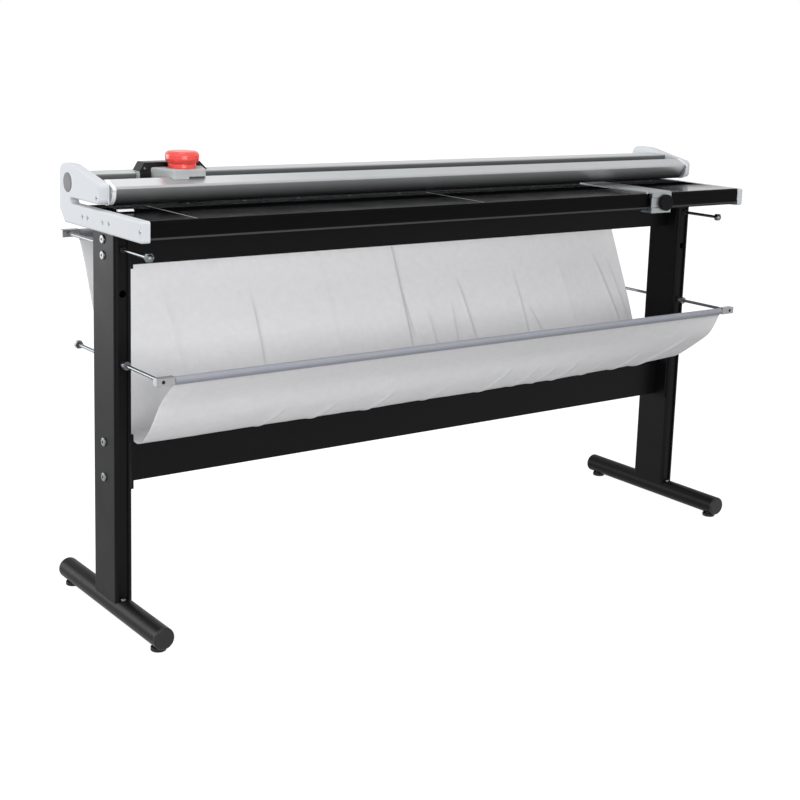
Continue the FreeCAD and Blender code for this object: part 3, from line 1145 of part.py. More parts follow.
def carriage_housing():
    """The light grey cover, open below and behind; its left side reaches down into the channel."""
    low = RAIL_CLEAR_Z - HOUSING_SKIRT_DROP
    body = housing_plan(0.0, low, HOUSING_TOP_Z)
    rim = [e for e in body.Edges
           if e.BoundBox.ZMin > HOUSING_TOP_Z - 0.1 and e.BoundBox.YMin < HOUSING_BACK_Y - 0.1]
    body = body.makeFillet(HOUSING_EDGE_RADIUS, rim)
    body = body.cut(housing_plan(HOUSING_WALL, low - 1.0, HOUSING_TOP_Z - HOUSING_WALL))
    front = HOUSING_FRONT_Y - 1.0
    skirt_front = CHANNEL_FRONT_Y + HOUSING_SKIRT_GAP
    over_rail = ((front, low - 1.0), (skirt_front, low - 1.0), (skirt_front, RAIL_CLEAR_Z),
                 (CHANNEL_FRONT_Y, RAIL_CLEAR_Z), (front, front_rail_roof(front) + RUN_OVER_GAP))
    left = HEAD_X - 2 * HOUSING_BACK_LEFT_REACH
    right = HEAD_X + 2 * HOUSING_BACK_RIGHT_REACH
    body = body.cut(bar_x(over_rail, left, right))
    body = body.cut(box(HEAD_X, right, front, HOUSING_BACK_Y + 1.0, low - 1.0, RAIL_CLEAR_Z))
    body = body.cut(knob_stem_bore(BRIDGE_Z))
    post_length = HOUSING_TOP_Z - HOUSING_WALL - BRIDGE_TOP_Z
    for x in HOUSING_SCREW_XS:
        start = V(x, HOUSING_SCREW_Y, BRIDGE_TOP_Z)
        post = ring(HOUSING_POST_RADIUS, HOUSING_SCREW_RADIUS + SEAT_GAP, start, Z_AXIS, post_length)
        body = body.fuse(post)
    return body


def carriage_screws():
    """Small screws that hold the cover from below, and the bright one on the ridge."""
    screws = []
    length = HOUSING_TOP_Z - HOUSING_WALL - BRIDGE_Z - SLIDE_GAP
    for x in HOUSING_SCREW_XS:
        seat = V(x, HOUSING_SCREW_Y, BRIDGE_Z)
        head = rod(HOUSING_SCREW_HEAD_RADIUS, seat, -Z_AXIS, 2.0)
        screws.append(head.fuse(rod(HOUSING_SCREW_RADIUS, seat, Z_AXIS, length)))
    seat = V(RIDGE_LEFT_TOP_X, RIDGE_FRONT_Y, BRIDGE_Z + RIDGE_SCREW_RISE)
    screws.append(rod(RIDGE_SCREW_RADIUS, seat, -Y_AXIS, 1.8))
    return screws


def wiper_plate():
    """The light grey plate on the left end of the head."""
    return box(FRAME_LEFT_X - WIPER_THICKNESS, FRAME_LEFT_X, END_BLOCK_BACK_Y - WIPER_WIDTH,
               END_BLOCK_BACK_Y, BRIDGE_Z - WIPER_HEIGHT, BRIDGE_Z)


def roller_axles():
    """Two shouldered pins through the black body; a clip at each end keeps the roller on."""
    axles = []
    clip = ROLLER_CLIP_THICKNESS
    front_y = FRONT_ROLLER_Y - RUN_GAP - clip
    back_y = REAR_ROLLER_Y + ROLLER_WIDTH + RUN_GAP + clip
    front_shoulder_y = FRONT_ROLLER_Y + ROLLER_WIDTH + RUN_GAP
    for x, (seat_front, seat_back) in zip(ROLLER_XS, AXLE_SEATS):
        pin = rod(ROLLER_AXLE_RADIUS, V(x, front_y, GROOVE_CENTRE_Z), Y_AXIS, back_y - front_y)
        turned = [
            rod(ROLLER_SHOULDER_RADIUS, V(x, front_y, GROOVE_CENTRE_Z), Y_AXIS, clip),
            rod(ROLLER_SHOULDER_RADIUS, V(x, back_y - clip, GROOVE_CENTRE_Z), Y_AXIS, clip),
            rod(ROLLER_SHOULDER_RADIUS, V(x, front_shoulder_y, GROOVE_CENTRE_Z), Y_AXIS,
                seat_front - front_shoulder_y),
            rod(ROLLER_SHOULDER_RADIUS, V(x, seat_back, GROOVE_CENTRE_Z), Y_AXIS,
                REAR_ROLLER_Y - RUN_GAP - seat_back),
        ]
        axles.append(pin.fuse(turned).removeSplitter())
    return axles


def guide_roller(x, y):
    return ring(ROLLER_RADIUS, ROLLER_AXLE_RADIUS + RUN_GAP, V(x, y, GROOVE_CENTRE_Z), Y_AXIS, ROLLER_WIDTH)


def blade_axle():
    """The blade's pin, fixed in the frame plate."""
    seat = V(BLADE_X, FRAME_PLATE_Y, BLADE_Z)
    length = BLADE_Y + BLADE_THICKNESS + BLADE_NUT_LENGTH - FRAME_PLATE_Y
    head = rod(BLADE_AXLE_HEAD_RADIUS, seat, -Y_AXIS, BLADE_AXLE_HEAD_LENGTH)
    return rod(BLADE_AXLE_RADIUS, seat, Y_AXIS, length).fuse(head)


def blade_spring():
    """A short coil round the axle that presses the blade against the fixed one."""
    low = FRAME_PLATE_BACK_Y + SPRING_WIRE + SPRING_END_GAP
    high = HUB_Y - SPRING_WIRE - SPRING_END_GAP
    pitch = (high - low) / SPRING_TURNS
    helix = Part.makeHelix(pitch, high - low, SPRING_MEAN_RADIUS)
    profile = Part.Wire(Part.makeCircle(SPRING_WIRE, V(SPRING_MEAN_RADIUS, 0, 0), Y_AXIS))
    coil = Part.Wire(helix).makePipeShell([profile], True, True)
    coil.rotate(V(0, 0, 0), X_AXIS, -90)
    coil.translate(V(BLADE_X, low, BLADE_Z))
    return coil


def cutting_blade():
    """The round blade with its hub and locking ring."""
    centre = V(BLADE_X, BLADE_Y, BLADE_Z)
    full = BLADE_RADIUS
    edge = BLADE_THICKNESS * 0.75
    disc = rod(full, centre, Y_AXIS, BLADE_THICKNESS - edge)
    bevel_start = centre + Y_AXIS * (BLADE_THICKNESS - edge)
    bevel = Part.makeCone(full, full - BLADE_BEVEL, edge, bevel_start, Y_AXIS)
    hub_start = centre - Y_AXIS * HUB_LENGTH
    length = HUB_LENGTH + BLADE_THICKNESS + BLADE_NUT_LENGTH
    hub = rod(HUB_RADIUS, hub_start, Y_AXIS, length)
    solid = disc.fuse([bevel, hub]).removeSplitter()
    return solid.cut(rod(BLADE_AXLE_RADIUS + RUN_GAP, hub_start, Y_AXIS, length))


def red_knob():
    """The mushroom-shaped grip, turned about Z."""
    base = HOUSING_TOP_Z
    neck = base + KNOB_NECK_HEIGHT
    top = base + KNOB_HEIGHT
    cap = KNOB_RADIUS
    foot = KNOB_NECK_RADIUS
    outline = (
        (0.0, base), (foot - 1.2, base), (foot - 0.35, base + 0.35, "arc"), (foot, base + 1.2),
        (foot, neck - 3.0), (foot - 0.6, neck - 1.4, "arc"), (foot - 2.0, neck - 0.8), (foot - 2.0, neck),
        (foot + 1.0, neck + 0.8), (cap - 1.6, neck + 5.0, "arc"), (cap, neck + 11.0), (cap, top - 12.0),
        (cap - 2.6, top - 3.4, "arc"), (cap - 9.5, top), (0.0, top),
    )
    profile = wire_yz([(KNOB_Y + p[0],) + tuple(p[1:]) for p in outline], HEAD_X)
    solid = Part.Face(profile).revolve(V(HEAD_X, KNOB_Y, 0), Z_AXIS, 360)
    return solid.cut(knob_stem_bore(base))


def knob_stem():
    length = HOUSING_TOP_Z + KNOB_STEM_DEPTH - BRIDGE_Z
    return rod(KNOB_STEM_RADIUS, V(HEAD_X, KNOB_Y, BRIDGE_Z), Z_AXIS, length)


def knob_stem_bore(z):
    """The room for the stem from z up to its end."""
    length = HOUSING_TOP_Z + KNOB_STEM_DEPTH - z
    return rod(KNOB_STEM_RADIUS + SEAT_GAP, V(HEAD_X, KNOB_Y, z), Z_AXIS, length)


# Side stop

def side_stop_plate():
    """The flat plate that lies across the table, square to the cut."""
    half = STOP_PLATE_WIDTH / 2
    low = TABLE_TOP_Z + SLIDE_GAP
    return rounded_slab(STOP_X - half, STOP_X + half, TABLE_FRONT_Y - SLIDE_GAP, STOP_PLATE_BACK_Y, low,
                        low + STOP_PLATE_THICKNESS, 2.0)


def side_stop_clamp():
    """The C-shaped clamp that slides along the front edge of the table and carries the plate."""
    half = STOP_CLAMP_WIDTH / 2
    inner = TABLE_FRONT_Y - SLIDE_GAP
    low = TABLE_BOTTOM_Z - SLIDE_GAP
    top = TABLE_TOP_Z + SLIDE_GAP + STOP_PLATE_THICKNESS
    web_back = STOP_CLAMP_WEB_Y + STOP_CLAMP_WEB
    flange = top - STOP_FLANGE_HEIGHT
    section = (
        (inner, top), (STOP_CLAMP_FRONT_Y + 2.0, top), (STOP_CLAMP_FRONT_Y, top - 2.0),
        (STOP_CLAMP_FRONT_Y, flange), (STOP_CLAMP_WEB_Y, flange - 1.5),
        (STOP_CLAMP_WEB_Y, low + 6.0), (STOP_CLAMP_FRONT_Y, low + 4.5),
        (STOP_CLAMP_FRONT_Y, low - STOP_FOOT_HEIGHT), (STOP_CLAMP_FOOT_Y, low - STOP_FOOT_HEIGHT),
        (STOP_CLAMP_FOOT_Y, low), (inner, low), (inner, low + 8.0), (web_back, low + 8.0),
        (web_back, flange - 2.0), (inner, flange - 2.0),
    )
    body = bar_x(section, STOP_X - half, STOP_X + half)
    hole = rod(STOP_SCREW_RADIUS + RUN_GAP, V(STOP_KNOB_X, STOP_CLAMP_FRONT_Y, STOP_KNOB_Z), Y_AXIS,
               STOP_CLAMP_REACH)
    return body.cut(hole)


def side_stop_knob():
    """The black knob and its screw, which presses on the table's front edge."""
    start = V(STOP_KNOB_X, STOP_KNOB_FRONT_Y, STOP_KNOB_Z)
    knob = rod(STOP_KNOB_RADIUS, start, Y_AXIS, STOP_KNOB_THICKNESS)
    rims = [e for e in knob.Edges if e.BoundBox.YLength < 0.1]
    knob = knob.makeFillet(1.5, rims)
    tip = TABLE_FRONT_Y + FRONT_LIP_STEP - SLIDE_GAP
    screw = rod(STOP_SCREW_RADIUS, start, Y_AXIS, tip - STOP_KNOB_FRONT_Y)
    return knob.fuse(screw)


def make_stand():
    right = column()
    export("right_column", right)
    export("left_column", mirror_x(right))
    export("left_foot_tube", foot_tube(-1))
    export("right_foot_tube", foot_tube(1))
    export("foot_tube_caps", foot_caps())
    export("foot_threaded_inserts", [foot_insert(x, y) for x, y in foot_places()])
    export("column_base_screws", base_screws())
    for number, (x, y) in enumerate(foot_places(), 1):
        export("levelling_foot_%d" % number, levelling_foot(x, y))
    export("upper_beam", beam(UPPER_BEAM_Z, UPPER_BEAM_HEIGHT, UPPER_PLATE_Z, UPPER_PLATE_HEIGHT))
    export("lower_beam", beam(LOWER_BEAM_Z, LOWER_BEAM_HEIGHT, LOWER_PLATE_Z, LOWER_PLATE_HEIGHT))
    export("beam_bolts", beam_bolts())


def make_basket():
    export("lower_basket_rods", basket_rods(LOWER_ROD_Z, -1))
    export("upper_basket_rods", basket_rods(UPPER_ROD_Z, 1))
    export("rod_bushes", rod_bushes())
    export("rod_end_nuts", rod_nuts())
    export("rod_collars", rod_collars())
    export("front_basket_bar", basket_bar(-BAR_Y, LOWER_ROD_Z))
    export("back_basket_bar", basket_bar(BAR_Y, UPPER_ROD_Z))
    export("bar_clamp_blocks", clamp_blocks())
    export("bar_clamp_screws", clamp_screws())
    export("catch_cloth", catch_cloth())


def make_table():
    export("table_front_profile", table_front_profile())
    export("table_board", table_board())
    export("table_inlay_lines", [inlay(x) for x in INLAY_POSITIONS])
    export("table_base_tray", table_tray())
    export("table_cross_ribs", table_ribs())
    export("counter_blade_bar", counter_blade_bar())
    export("counter_blade", counter_blade())
    export("counter_blade_screws", counter_screws())


def make_brackets_and_rails():
    right = bracket()
    export("right_end_bracket", right)
    export("left_end_bracket", mirror_x(right))
    export("bracket_screws", bracket_screws())
    export("bracket_disc_caps", disc_caps())
    export("front_rail", front_rail())
    export("front_rail_end_caps", front_rail_caps())
    export("rear_rail", rear_rail())
    export("clamp_strip", clamp_strip())
    export("clamp_strip_tab", strip_tab())
    export("carriage_end_buffers", end_buffers())


def make_cutting_head():
    export("carriage_frame", carriage_frame())
    export("carriage_housing", carriage_housing())
    export("carriage_wiper_plate", wiper_plate())
    export("carriage_screws", carriage_screws())
    export("roller_axles", roller_axles())
    number = 1
    for x in ROLLER_XS:
        for y in (FRONT_ROLLER_Y, REAR_ROLLER_Y):
            export("guide_roller_%d" % number, guide_roller(x, y))
            number += 1
    export("blade_axle", blade_axle())
    export("blade_spring", blade_spring())
    export("cutting_blade", cutting_blade())
    export("red_knob", red_knob())
    export("knob_stem", knob_stem())


def make_side_stop():
    export("side_stop_plate", side_stop_plate())
    export("side_stop_clamp", side_stop_clamp())
    export("side_stop_knob", side_stop_knob())


os.makedirs("parts", exist_ok=True)
make_stand()
make_basket()
make_table()
make_brackets_and_rails()
make_cutting_head()
make_side_stop()
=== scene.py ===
import json
import math

import bmesh
import bpy
from mathutils import Matrix, Vector, noise


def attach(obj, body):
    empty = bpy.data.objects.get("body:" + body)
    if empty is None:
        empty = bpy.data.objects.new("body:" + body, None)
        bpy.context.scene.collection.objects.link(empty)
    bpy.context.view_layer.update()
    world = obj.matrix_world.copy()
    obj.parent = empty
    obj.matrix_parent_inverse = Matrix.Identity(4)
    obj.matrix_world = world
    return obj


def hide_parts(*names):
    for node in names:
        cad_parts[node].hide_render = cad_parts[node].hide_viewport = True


# The looks of a large rotary paper trimmer on its stand: finishes for the CAD nodes, the hung cloth,
# the camera of the photograph and plain studio light. In metres and in the CAD frame, but the cloth is
# worked out in mm.

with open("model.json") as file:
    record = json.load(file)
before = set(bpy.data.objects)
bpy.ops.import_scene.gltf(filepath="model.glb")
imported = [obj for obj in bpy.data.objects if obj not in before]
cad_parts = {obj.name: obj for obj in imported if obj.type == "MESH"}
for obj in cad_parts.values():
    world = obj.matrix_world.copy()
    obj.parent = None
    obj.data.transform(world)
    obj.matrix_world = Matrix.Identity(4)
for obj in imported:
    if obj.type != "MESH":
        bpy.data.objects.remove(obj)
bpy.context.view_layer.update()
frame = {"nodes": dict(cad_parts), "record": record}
nodes = frame["nodes"]
MM = 0.001
ROOT = "stand_and_table"

# Helpers for shader nodes


def shader_of(material):
    return material.node_tree.nodes["Principled BSDF"]


def new_material(name, colour, rough, metallic=0.0, specular=0.5):
    material = bpy.data.materials.new(name)
    material.use_nodes = True
    shader = shader_of(material)
    shader.inputs["Base Color"].default_value = (*colour, 1.0)
    shader.inputs["Roughness"].default_value = rough
    shader.inputs["Metallic"].default_value = metallic
    shader.inputs["Specular IOR Level"].default_value = specular
    return material, material.node_tree, shader


def coordinates(tree, scale=(1.0, 1.0, 1.0)):
    place = tree.nodes.new("ShaderNodeTexCoord")
    mapping = tree.nodes.new("ShaderNodeMapping")
    mapping.inputs["Scale"].default_value = scale
    tree.links.new(place.outputs["Object"], mapping.inputs["Vector"])
    return mapping.outputs["Vector"]


def axes_of(tree, output):
    """X, Y and Z of the place on the piece (Object) or of the way that its face looks (Normal)."""
    place = tree.nodes.new("ShaderNodeTexCoord")
    parts = tree.nodes.new("ShaderNodeSeparateXYZ")
    tree.links.new(place.outputs[output], parts.inputs["Vector"])
    return parts.outputs


def noise_node(tree, vector, scale, detail=2.0, roughness=0.5):
    node = tree.nodes.new("ShaderNodeTexNoise")
    node.inputs["Scale"].default_value = scale
    node.inputs["Detail"].default_value = detail
    node.inputs["Roughness"].default_value = roughness
    tree.links.new(vector, node.inputs["Vector"])
    return node.outputs["Fac"]


def calculate(tree, operation, *values):
    """A Math node, where each value is a number or another node's output."""
    node = tree.nodes.new("ShaderNodeMath")
    node.operation = operation
    for value, entry in zip(values, node.inputs):
        if isinstance(value, float):
            entry.default_value = value
        else:
            tree.links.new(value, entry)
    return node.outputs["Value"]


def span(tree, value, low, high, low_out=0.0, high_out=1.0):
    """The value, spread from between low and high to between low_out and high_out."""
    node = tree.nodes.new("ShaderNodeMapRange")
    node.inputs["From Min"].default_value = low
    node.inputs["From Max"].default_value = high
    node.inputs["To Min"].default_value = low_out
    node.inputs["To Max"].default_value = high_out
    tree.links.new(value, node.inputs["Value"])
    return node.outputs["Result"]


def blend(tree, factor, first, second):
    """A mix of two colours, each a tuple or another node's output."""
    node = tree.nodes.new("ShaderNodeMix")
    node.data_type = "RGBA"
    tree.links.new(factor, node.inputs["Factor"])
    for name, colour in (("A", first), ("B", second)):
        if isinstance(colour, tuple):
            node.inputs[name].default_value = (*colour, 1.0)
        else:
            tree.links.new(colour, node.inputs[name])
    return node.outputs["Result"]


def tint(material, factor, colour):
    """Mix the material's base colour towards another one."""
    tree = material.node_tree
    base = shader_of(material).inputs["Base Color"]
    tree.links.new(blend(tree, factor, base.links[0].from_socket, colour), base)


def add_bump(tree, shader, height, strength, distance, before=None):
    bump = tree.nodes.new("ShaderNodeBump")
    bump.inputs["Strength"].default_value = strength
    bump.inputs["Distance"].default_value = distance
    tree.links.new(height, bump.inputs["Height"])
    if before is not None:
        tree.links.new(before, bump.inputs["Normal"])
    tree.links.new(bump.outputs["Normal"], shader.inputs["Normal"])
    return bump.outputs["Normal"]


# Finishes. Grain and patches are noise scales, spread is the share by which a colour varies. The fixed
# blade's ground_steel is dull and dark here, painted shade to match the photograph.
ALONG_X = (0.012, 1.0, 1.0)
ALONG_Y = (1.0, 0.02, 1.0)
PATCH_NOISE = (0.3, 0.7)


def shades(colour, darker, lighter):
    return tuple(c * (1.0 - darker) for c in colour), tuple(min(1.0, c * (1.0 + lighter)) for c in colour)


def tone(tree, shader, colour, rough, patches, spread, rough_spread=0.03):
    """Slight unevenness of colour and gloss over a surface."""
    patch = noise_node(tree, coordinates(tree), patches, 3.0)
    dark, light = shades(colour, spread, spread)
    tree.links.new(blend(tree, span(tree, patch, *PATCH_NOISE), dark, light), shader.inputs["Base Color"])
    tree.links.new(span(tree, patch, *PATCH_NOISE, rough - rough_spread, rough + rough_spread),
                   shader.inputs["Roughness"])


def painted(name, colour, rough, specular=0.5, grain=900.0, depth=0.00006, strength=0.25, spread=0.06):
    """Powder coat or enamel with a fine orange-peel skin."""
    material, tree, shader = new_material(name, colour, rough, specular=specular)
    tone(tree, shader, colour, rough, 14.0, spread)
    add_bump(tree, shader, noise_node(tree, coordinates(tree), grain, 1.0), strength, depth)
    return material


def moulded(name, colour, rough, specular=0.5, grain=2600.0, depth=0.00003, strength=0.15, spread=0.04):
    """Moulded plastic or rubber with a fine spark-eroded grain."""
    material, tree, shader = new_material(name, colour, rough, specular=specular)
    tone(tree, shader, colour, rough, 30.0, spread)
    add_bump(tree, shader, noise_node(tree, coordinates(tree), grain, 2.0), strength, depth)
    return material


def metal(name, colour, rough, lines=(1.0, 1.0, 1.0), grain=1500.0, depth=0.00002, strength=0.1, spread=0.05,
          rough_spread=0.05, metallic=1.0):
    """Metal with marks that run along the axis whose share in lines is small."""
    material, tree, shader = new_material(name, colour, rough, metallic)
    tone(tree, shader, colour, rough, 25.0, spread, rough_spread)
    add_bump(tree, shader, noise_node(tree, coordinates(tree, lines), grain, 3.0), strength, depth)
    return material


def clear(name, colour, rough, alpha, specular=0.35, grain=300.0, depth=0.0001, strength=0.04):
    """A thin clear sheet, seen mostly by its gloss and its edges."""
    material, tree, shader = new_material(name, colour, rough, specular=specular)
    shader.inputs["Alpha"].default_value = alpha
    vector = coordinates(tree, (0.05, 1.0, 1.0))
    add_bump(tree, shader, noise_node(tree, vector, grain, 2.0), strength, depth)
    return material


def woven(name, colour, glow, rough=0.85, specular=0.25):
    """Woven cloth: two sets of threads, slubs, a soft sheen, light scattered inside, painted shade on one side
    of folds.
    """
    material, tree, shader = new_material(name, colour, rough, specular=specular)
    shader.inputs["Sheen Weight"].default_value = 0.15
    shader.inputs["Sheen Roughness"].default_value = 0.5
    shader.inputs["Subsurface Weight"].default_value = glow
    shader.inputs["Subsurface Radius"].default_value = (1.0, 1.0, 1.0)
    shader.inputs["Subsurface Scale"].default_value = 0.004
    place = tree.nodes.new("ShaderNodeUVMap")
    place.uv_map = "cut"
    threads = []
    for turn in (0.0, math.pi / 2):
        mapping = tree.nodes.new("ShaderNodeMapping")
        mapping.inputs["Rotation"].default_value = (0.0, 0.0, turn)
        tree.links.new(place.outputs["UV"], mapping.inputs["Vector"])
        wave = tree.nodes.new("ShaderNodeTexWave")
        wave.inputs["Scale"].default_value = 260.0
        wave.inputs["Distortion"].default_value = 1.2
        wave.inputs["Detail"].default_value = 2.0
        wave.inputs["Detail Scale"].default_value = 0.6
        tree.links.new(mapping.outputs["Vector"], wave.inputs["Vector"])
        threads.append(wave.outputs["Fac"])
    slubs = noise_node(tree, coordinates(tree), 55.0, 4.0, 0.6)
    dark, light = shades(colour, 0.035, 0.02)
    tree.links.new(blend(tree, span(tree, slubs, *PATCH_NOISE), dark, light), shader.inputs["Base Color"])
    # painted shade of the folds, darkening the cloth's colour by up to half
    fold_shade = tree.nodes.new("ShaderNodeAttribute")
    fold_shade.attribute_name = "fold_shade"
    tint(material, fold_shade.outputs["Fac"], tuple(c * 0.5 for c in colour))
    weave = add_bump(tree, shader, calculate(tree, "MAXIMUM", *threads), 0.12, 0.00008)
    add_bump(tree, shader, slubs, 0.10, 0.0004, weave)
    return material


FINISH = {}
for make, name, colour, rough, settings in (
    (painted, "black_powder_coat", (0.0052, 0.0052, 0.0058), 0.40, dict(specular=0.075)),
    (moulded, "black_plastic", (0.010, 0.010, 0.011), 0.45, dict(specular=0.3)),
    (moulded, "pad_plastic", (0.012, 0.012, 0.012), 0.6, dict(specular=0.25)),
    # painted shade: zinc_steel, bright_rod, block_alloy and stop_alloy are coloured darker than such metals
    # are, in place of darker surroundings in their reflections
    (metal, "zinc_steel", (0.18, 0.19, 0.20), 0.36, dict(grain=900.0, strength=0.12)),
    (metal, "bright_rod", (0.14, 0.15, 0.16), 0.28,
     dict(lines=ALONG_Y, grain=2500.0, strength=0.05, spread=0.03, rough_spread=0.03)),
    (metal, "block_alloy", (0.31, 0.31, 0.32), 0.38, dict(grain=1800.0, strength=0.15)),
    (metal, "black_screw", (0.03, 0.03, 0.032), 0.4, dict(spread=0.1, metallic=0.8)),
    (painted, "black_anodised", (0.0030, 0.0030, 0.0034), 0.34,
     dict(specular=0.035, grain=1500.0, depth=0.00003, strength=0.10)),
    (painted, "black_laminate", (0.0025, 0.0027, 0.0030), 0.15,
     dict(grain=1400.0, depth=0.00002, strength=0.03)),
    (moulded, "white_inlay", (0.42, 0.42, 0.41), 0.5, {}),
    (painted, "black_sheet", (0.003, 0.003, 0.0035), 0.45, dict(specular=0.0)),
    # painted shade: the fixed blade is coloured dull and dark, not as bright ground steel
    (painted, "ground_steel", (0.030, 0.030, 0.032), 0.5,
     dict(specular=0.0, grain=2200.0, depth=0.00002, strength=0.1)),
    (painted, "bracket_paint", (0.62, 0.645, 0.675), 0.50,
     dict(specular=0.10, grain=700.0, depth=0.00005, strength=0.2, spread=0.02)),
    (moulded, "dark_cap_plastic", (0.030, 0.033, 0.042), 0.5, dict(specular=0.45)),
    (metal, "silver_anodised", (0.46, 0.475, 0.48), 0.35,
     dict(lines=ALONG_X, grain=1600.0, strength=0.03, spread=0.02, rough_spread=0.01, metallic=0.6)),
    (moulded, "white_plastic", (0.72, 0.73, 0.74), 0.4, {}),
    (clear, "clear_plastic", (0.80, 0.85, 0.86), 0.08, dict(alpha=0.02)),
    (moulded, "buffer_rubber", (0.015, 0.015, 0.015), 0.7, dict(specular=0.3, grain=1500.0, strength=0.3)),
    (painted, "carriage_black", (0.0055, 0.0055, 0.0062), 0.32,
     dict(specular=0.25, grain=1300.0, depth=0.00004, strength=0.2)),
    (moulded, "housing_grey", (0.42, 0.435, 0.44), 0.45, dict(specular=0.25)),
    (moulded, "roller_plastic", (0.70, 0.70, 0.67), 0.4, {}),
    (moulded, "red_plastic", (0.85, 0.072, 0.060), 0.24, dict(grain=3000.0, strength=0.05)),
    (metal, "stop_alloy", (0.33, 0.345, 0.35), 0.36, dict(lines=ALONG_Y, grain=1800.0, strength=0.05)),
    (moulded, "knob_black", (0.006, 0.006, 0.007), 0.42, dict(specular=0.06)),
):
    FINISH[name] = make(name, colour, rough, **settings)
CLOTH = woven("basket_cloth", (0.81, 0.81, 0.83), 0.55)
# painted shade: the sleeves are the same cloth, coloured darker and bluer where it wraps the bars
SHADED_SLEEVE = woven("basket_sleeve_shaded", (0.315, 0.325, 0.37), 0.15)

# Shades that are painted to match the photograph, by place in metres or by a share of the face's normal.
CAP_END_SHADE_GREY = (0.24, 0.26, 0.29)
CAP_END_NORMAL_X = (0.75, 0.9)
CHANNEL_SHADE_GREY = (0.17, 0.175, 0.18)
UNDERSIDE_NORMAL_Z = (-0.97, -0.8)
UPRIGHT_NORMAL_Z = (0.35, 0.75)
CHANNEL_FRONT_Y = (-0.0085, -0.0065)
CHANNEL_BACK_Y = (0.050, 0.054)
RAIL_FACE_SHADE_COLOUR = (0.012, 0.012, 0.013)
RAIL_FACE_SHARE = 0.93
RAIL_FACE_Z = (0.913, 0.945)
RAIL_FACE_BACK_Y = (-0.0095, -0.0085)
GLOSS_FADE_Y = (-0.19, -0.072)
GLOSS_FADE_POWER = 4.0
FULL_GLOSS = 0.5
LIP_LINE_GREY = (0.055, 0.055, 0.060)
LIP_LINE_Z = 0.8643
LIP_LINE_HALF = 0.0025


def paint_cap_end_shade(material):
    """Painted shade on the moulded caps: darker grey on the faces that look along X."""
    tree = material.node_tree
    across = calculate(tree, "ABSOLUTE", axes_of(tree, "Normal")["X"])
    tint(material, span(tree, across, *CAP_END_NORMAL_X), CAP_END_SHADE_GREY)


def paint_channel_shade(material):
    """Painted shade: the rails are dark on their undersides and on the walls that face each other across the
    channel.
    """
    tree = material.node_tree
    facing = axes_of(tree, "Normal")
    spot = axes_of(tree, "Object")
    below = span(tree, facing["Z"], *UNDERSIDE_NORMAL_Z, 1.0, 0.0)
    upright = span(tree, facing["Z"], *UPRIGHT_NORMAL_Z, 1.0, 0.0)
    past_front = span(tree, spot["Y"], *CHANNEL_FRONT_Y)
    before_back = span(tree, spot["Y"], *CHANNEL_BACK_Y, 1.0, 0.0)
    between = calculate(tree, "MULTIPLY", past_front, before_back)
    walls = calculate(tree, "MULTIPLY", between, upright)
    tint(material, calculate(tree, "MAXIMUM", below, walls), CHANNEL_SHADE_GREY)


def shade_rail_face(material):
    """Painted shade: the front rail's face falls off to dark towards its lower edge."""
    tree = material.node_tree
    spot = axes_of(tree, "Object")
    low = span(tree, spot["Z"], *RAIL_FACE_Z, RAIL_FACE_SHARE, 0.0)
    in_front = span(tree, spot["Y"], *RAIL_FACE_BACK_Y, 1.0, 0.0)
    tint(material, calculate(tree, "MULTIPLY", low, in_front), RAIL_FACE_SHADE_COLOUR)


def painted_shade_under_rails(material):
    """Painted shade under the rails: the laminate's gloss fades out from near the front edge towards the rails.
    """
    tree = material.node_tree
    share = span(tree, axes_of(tree, "Object")["Y"], *GLOSS_FADE_Y, 1.0, 0.0)
    gloss = calculate(tree, "MULTIPLY", calculate(tree, "POWER", share, GLOSS_FADE_POWER), FULL_GLOSS)
    tree.links.new(gloss, shader_of(material).inputs["Specular IOR Level"])


def lip_line(material):
    """A lighter line along the proud lip of the front profile."""
    tree = material.node_tree
    offset = calculate(tree, "SUBTRACT", axes_of(tree, "Object")["Z"], LIP_LINE_Z)
    away = calculate(tree, "ABSOLUTE", offset)
    tint(material, span(tree, away, LIP_LINE_HALF * 0.6, LIP_LINE_HALF, 1.0, 0.0), LIP_LINE_GREY)


paint_cap_end_shade(FINISH["white_plastic"])
paint_channel_shade(FINISH["silver_anodised"])
shade_rail_face(FINISH["silver_anodised"])
painted_shade_under_rails(FINISH["black_laminate"])
lip_line(FINISH["black_anodised"])

for entry in frame["record"]["subparts"]:
    node = nodes[entry["node"]]
    material = FINISH.get(entry["material_slot"], CLOTH)
    if not node.material_slots:
        node.data.materials.append(material)
    for place in node.material_slots:
        place.material = material

# The hung cloth, in mm until its points are placed
CLOTH_HALF_WIDTH = 812.0
CLOTH_THICKNESS = 0.9
BAR_Y = 228.0
UPPER_ROD_Z = 820.0
LOWER_ROD_Z = 577.0
BEAM_TOP_Z = 404.0
ROWS = 168
COLUMNS = 520
LINE_STEPS = 10
SLEEVE_RADIUS = 7.3
SLEEVE_STEPS = 26
HEM_LENGTH = 7.0
HEM_GAP = 1.5
HEM_POINTS = 2
SLEEVE_ROWS = HEM_POINTS + SLEEVE_STEPS + 1
CREASE_SHADE = 1.1
CREASE_LEAST_SLOPE = 0.03
CREASE_REACH = 2.0
FRONT_FROM = 0.6
RIDGE_SHARPNESS = 2.2

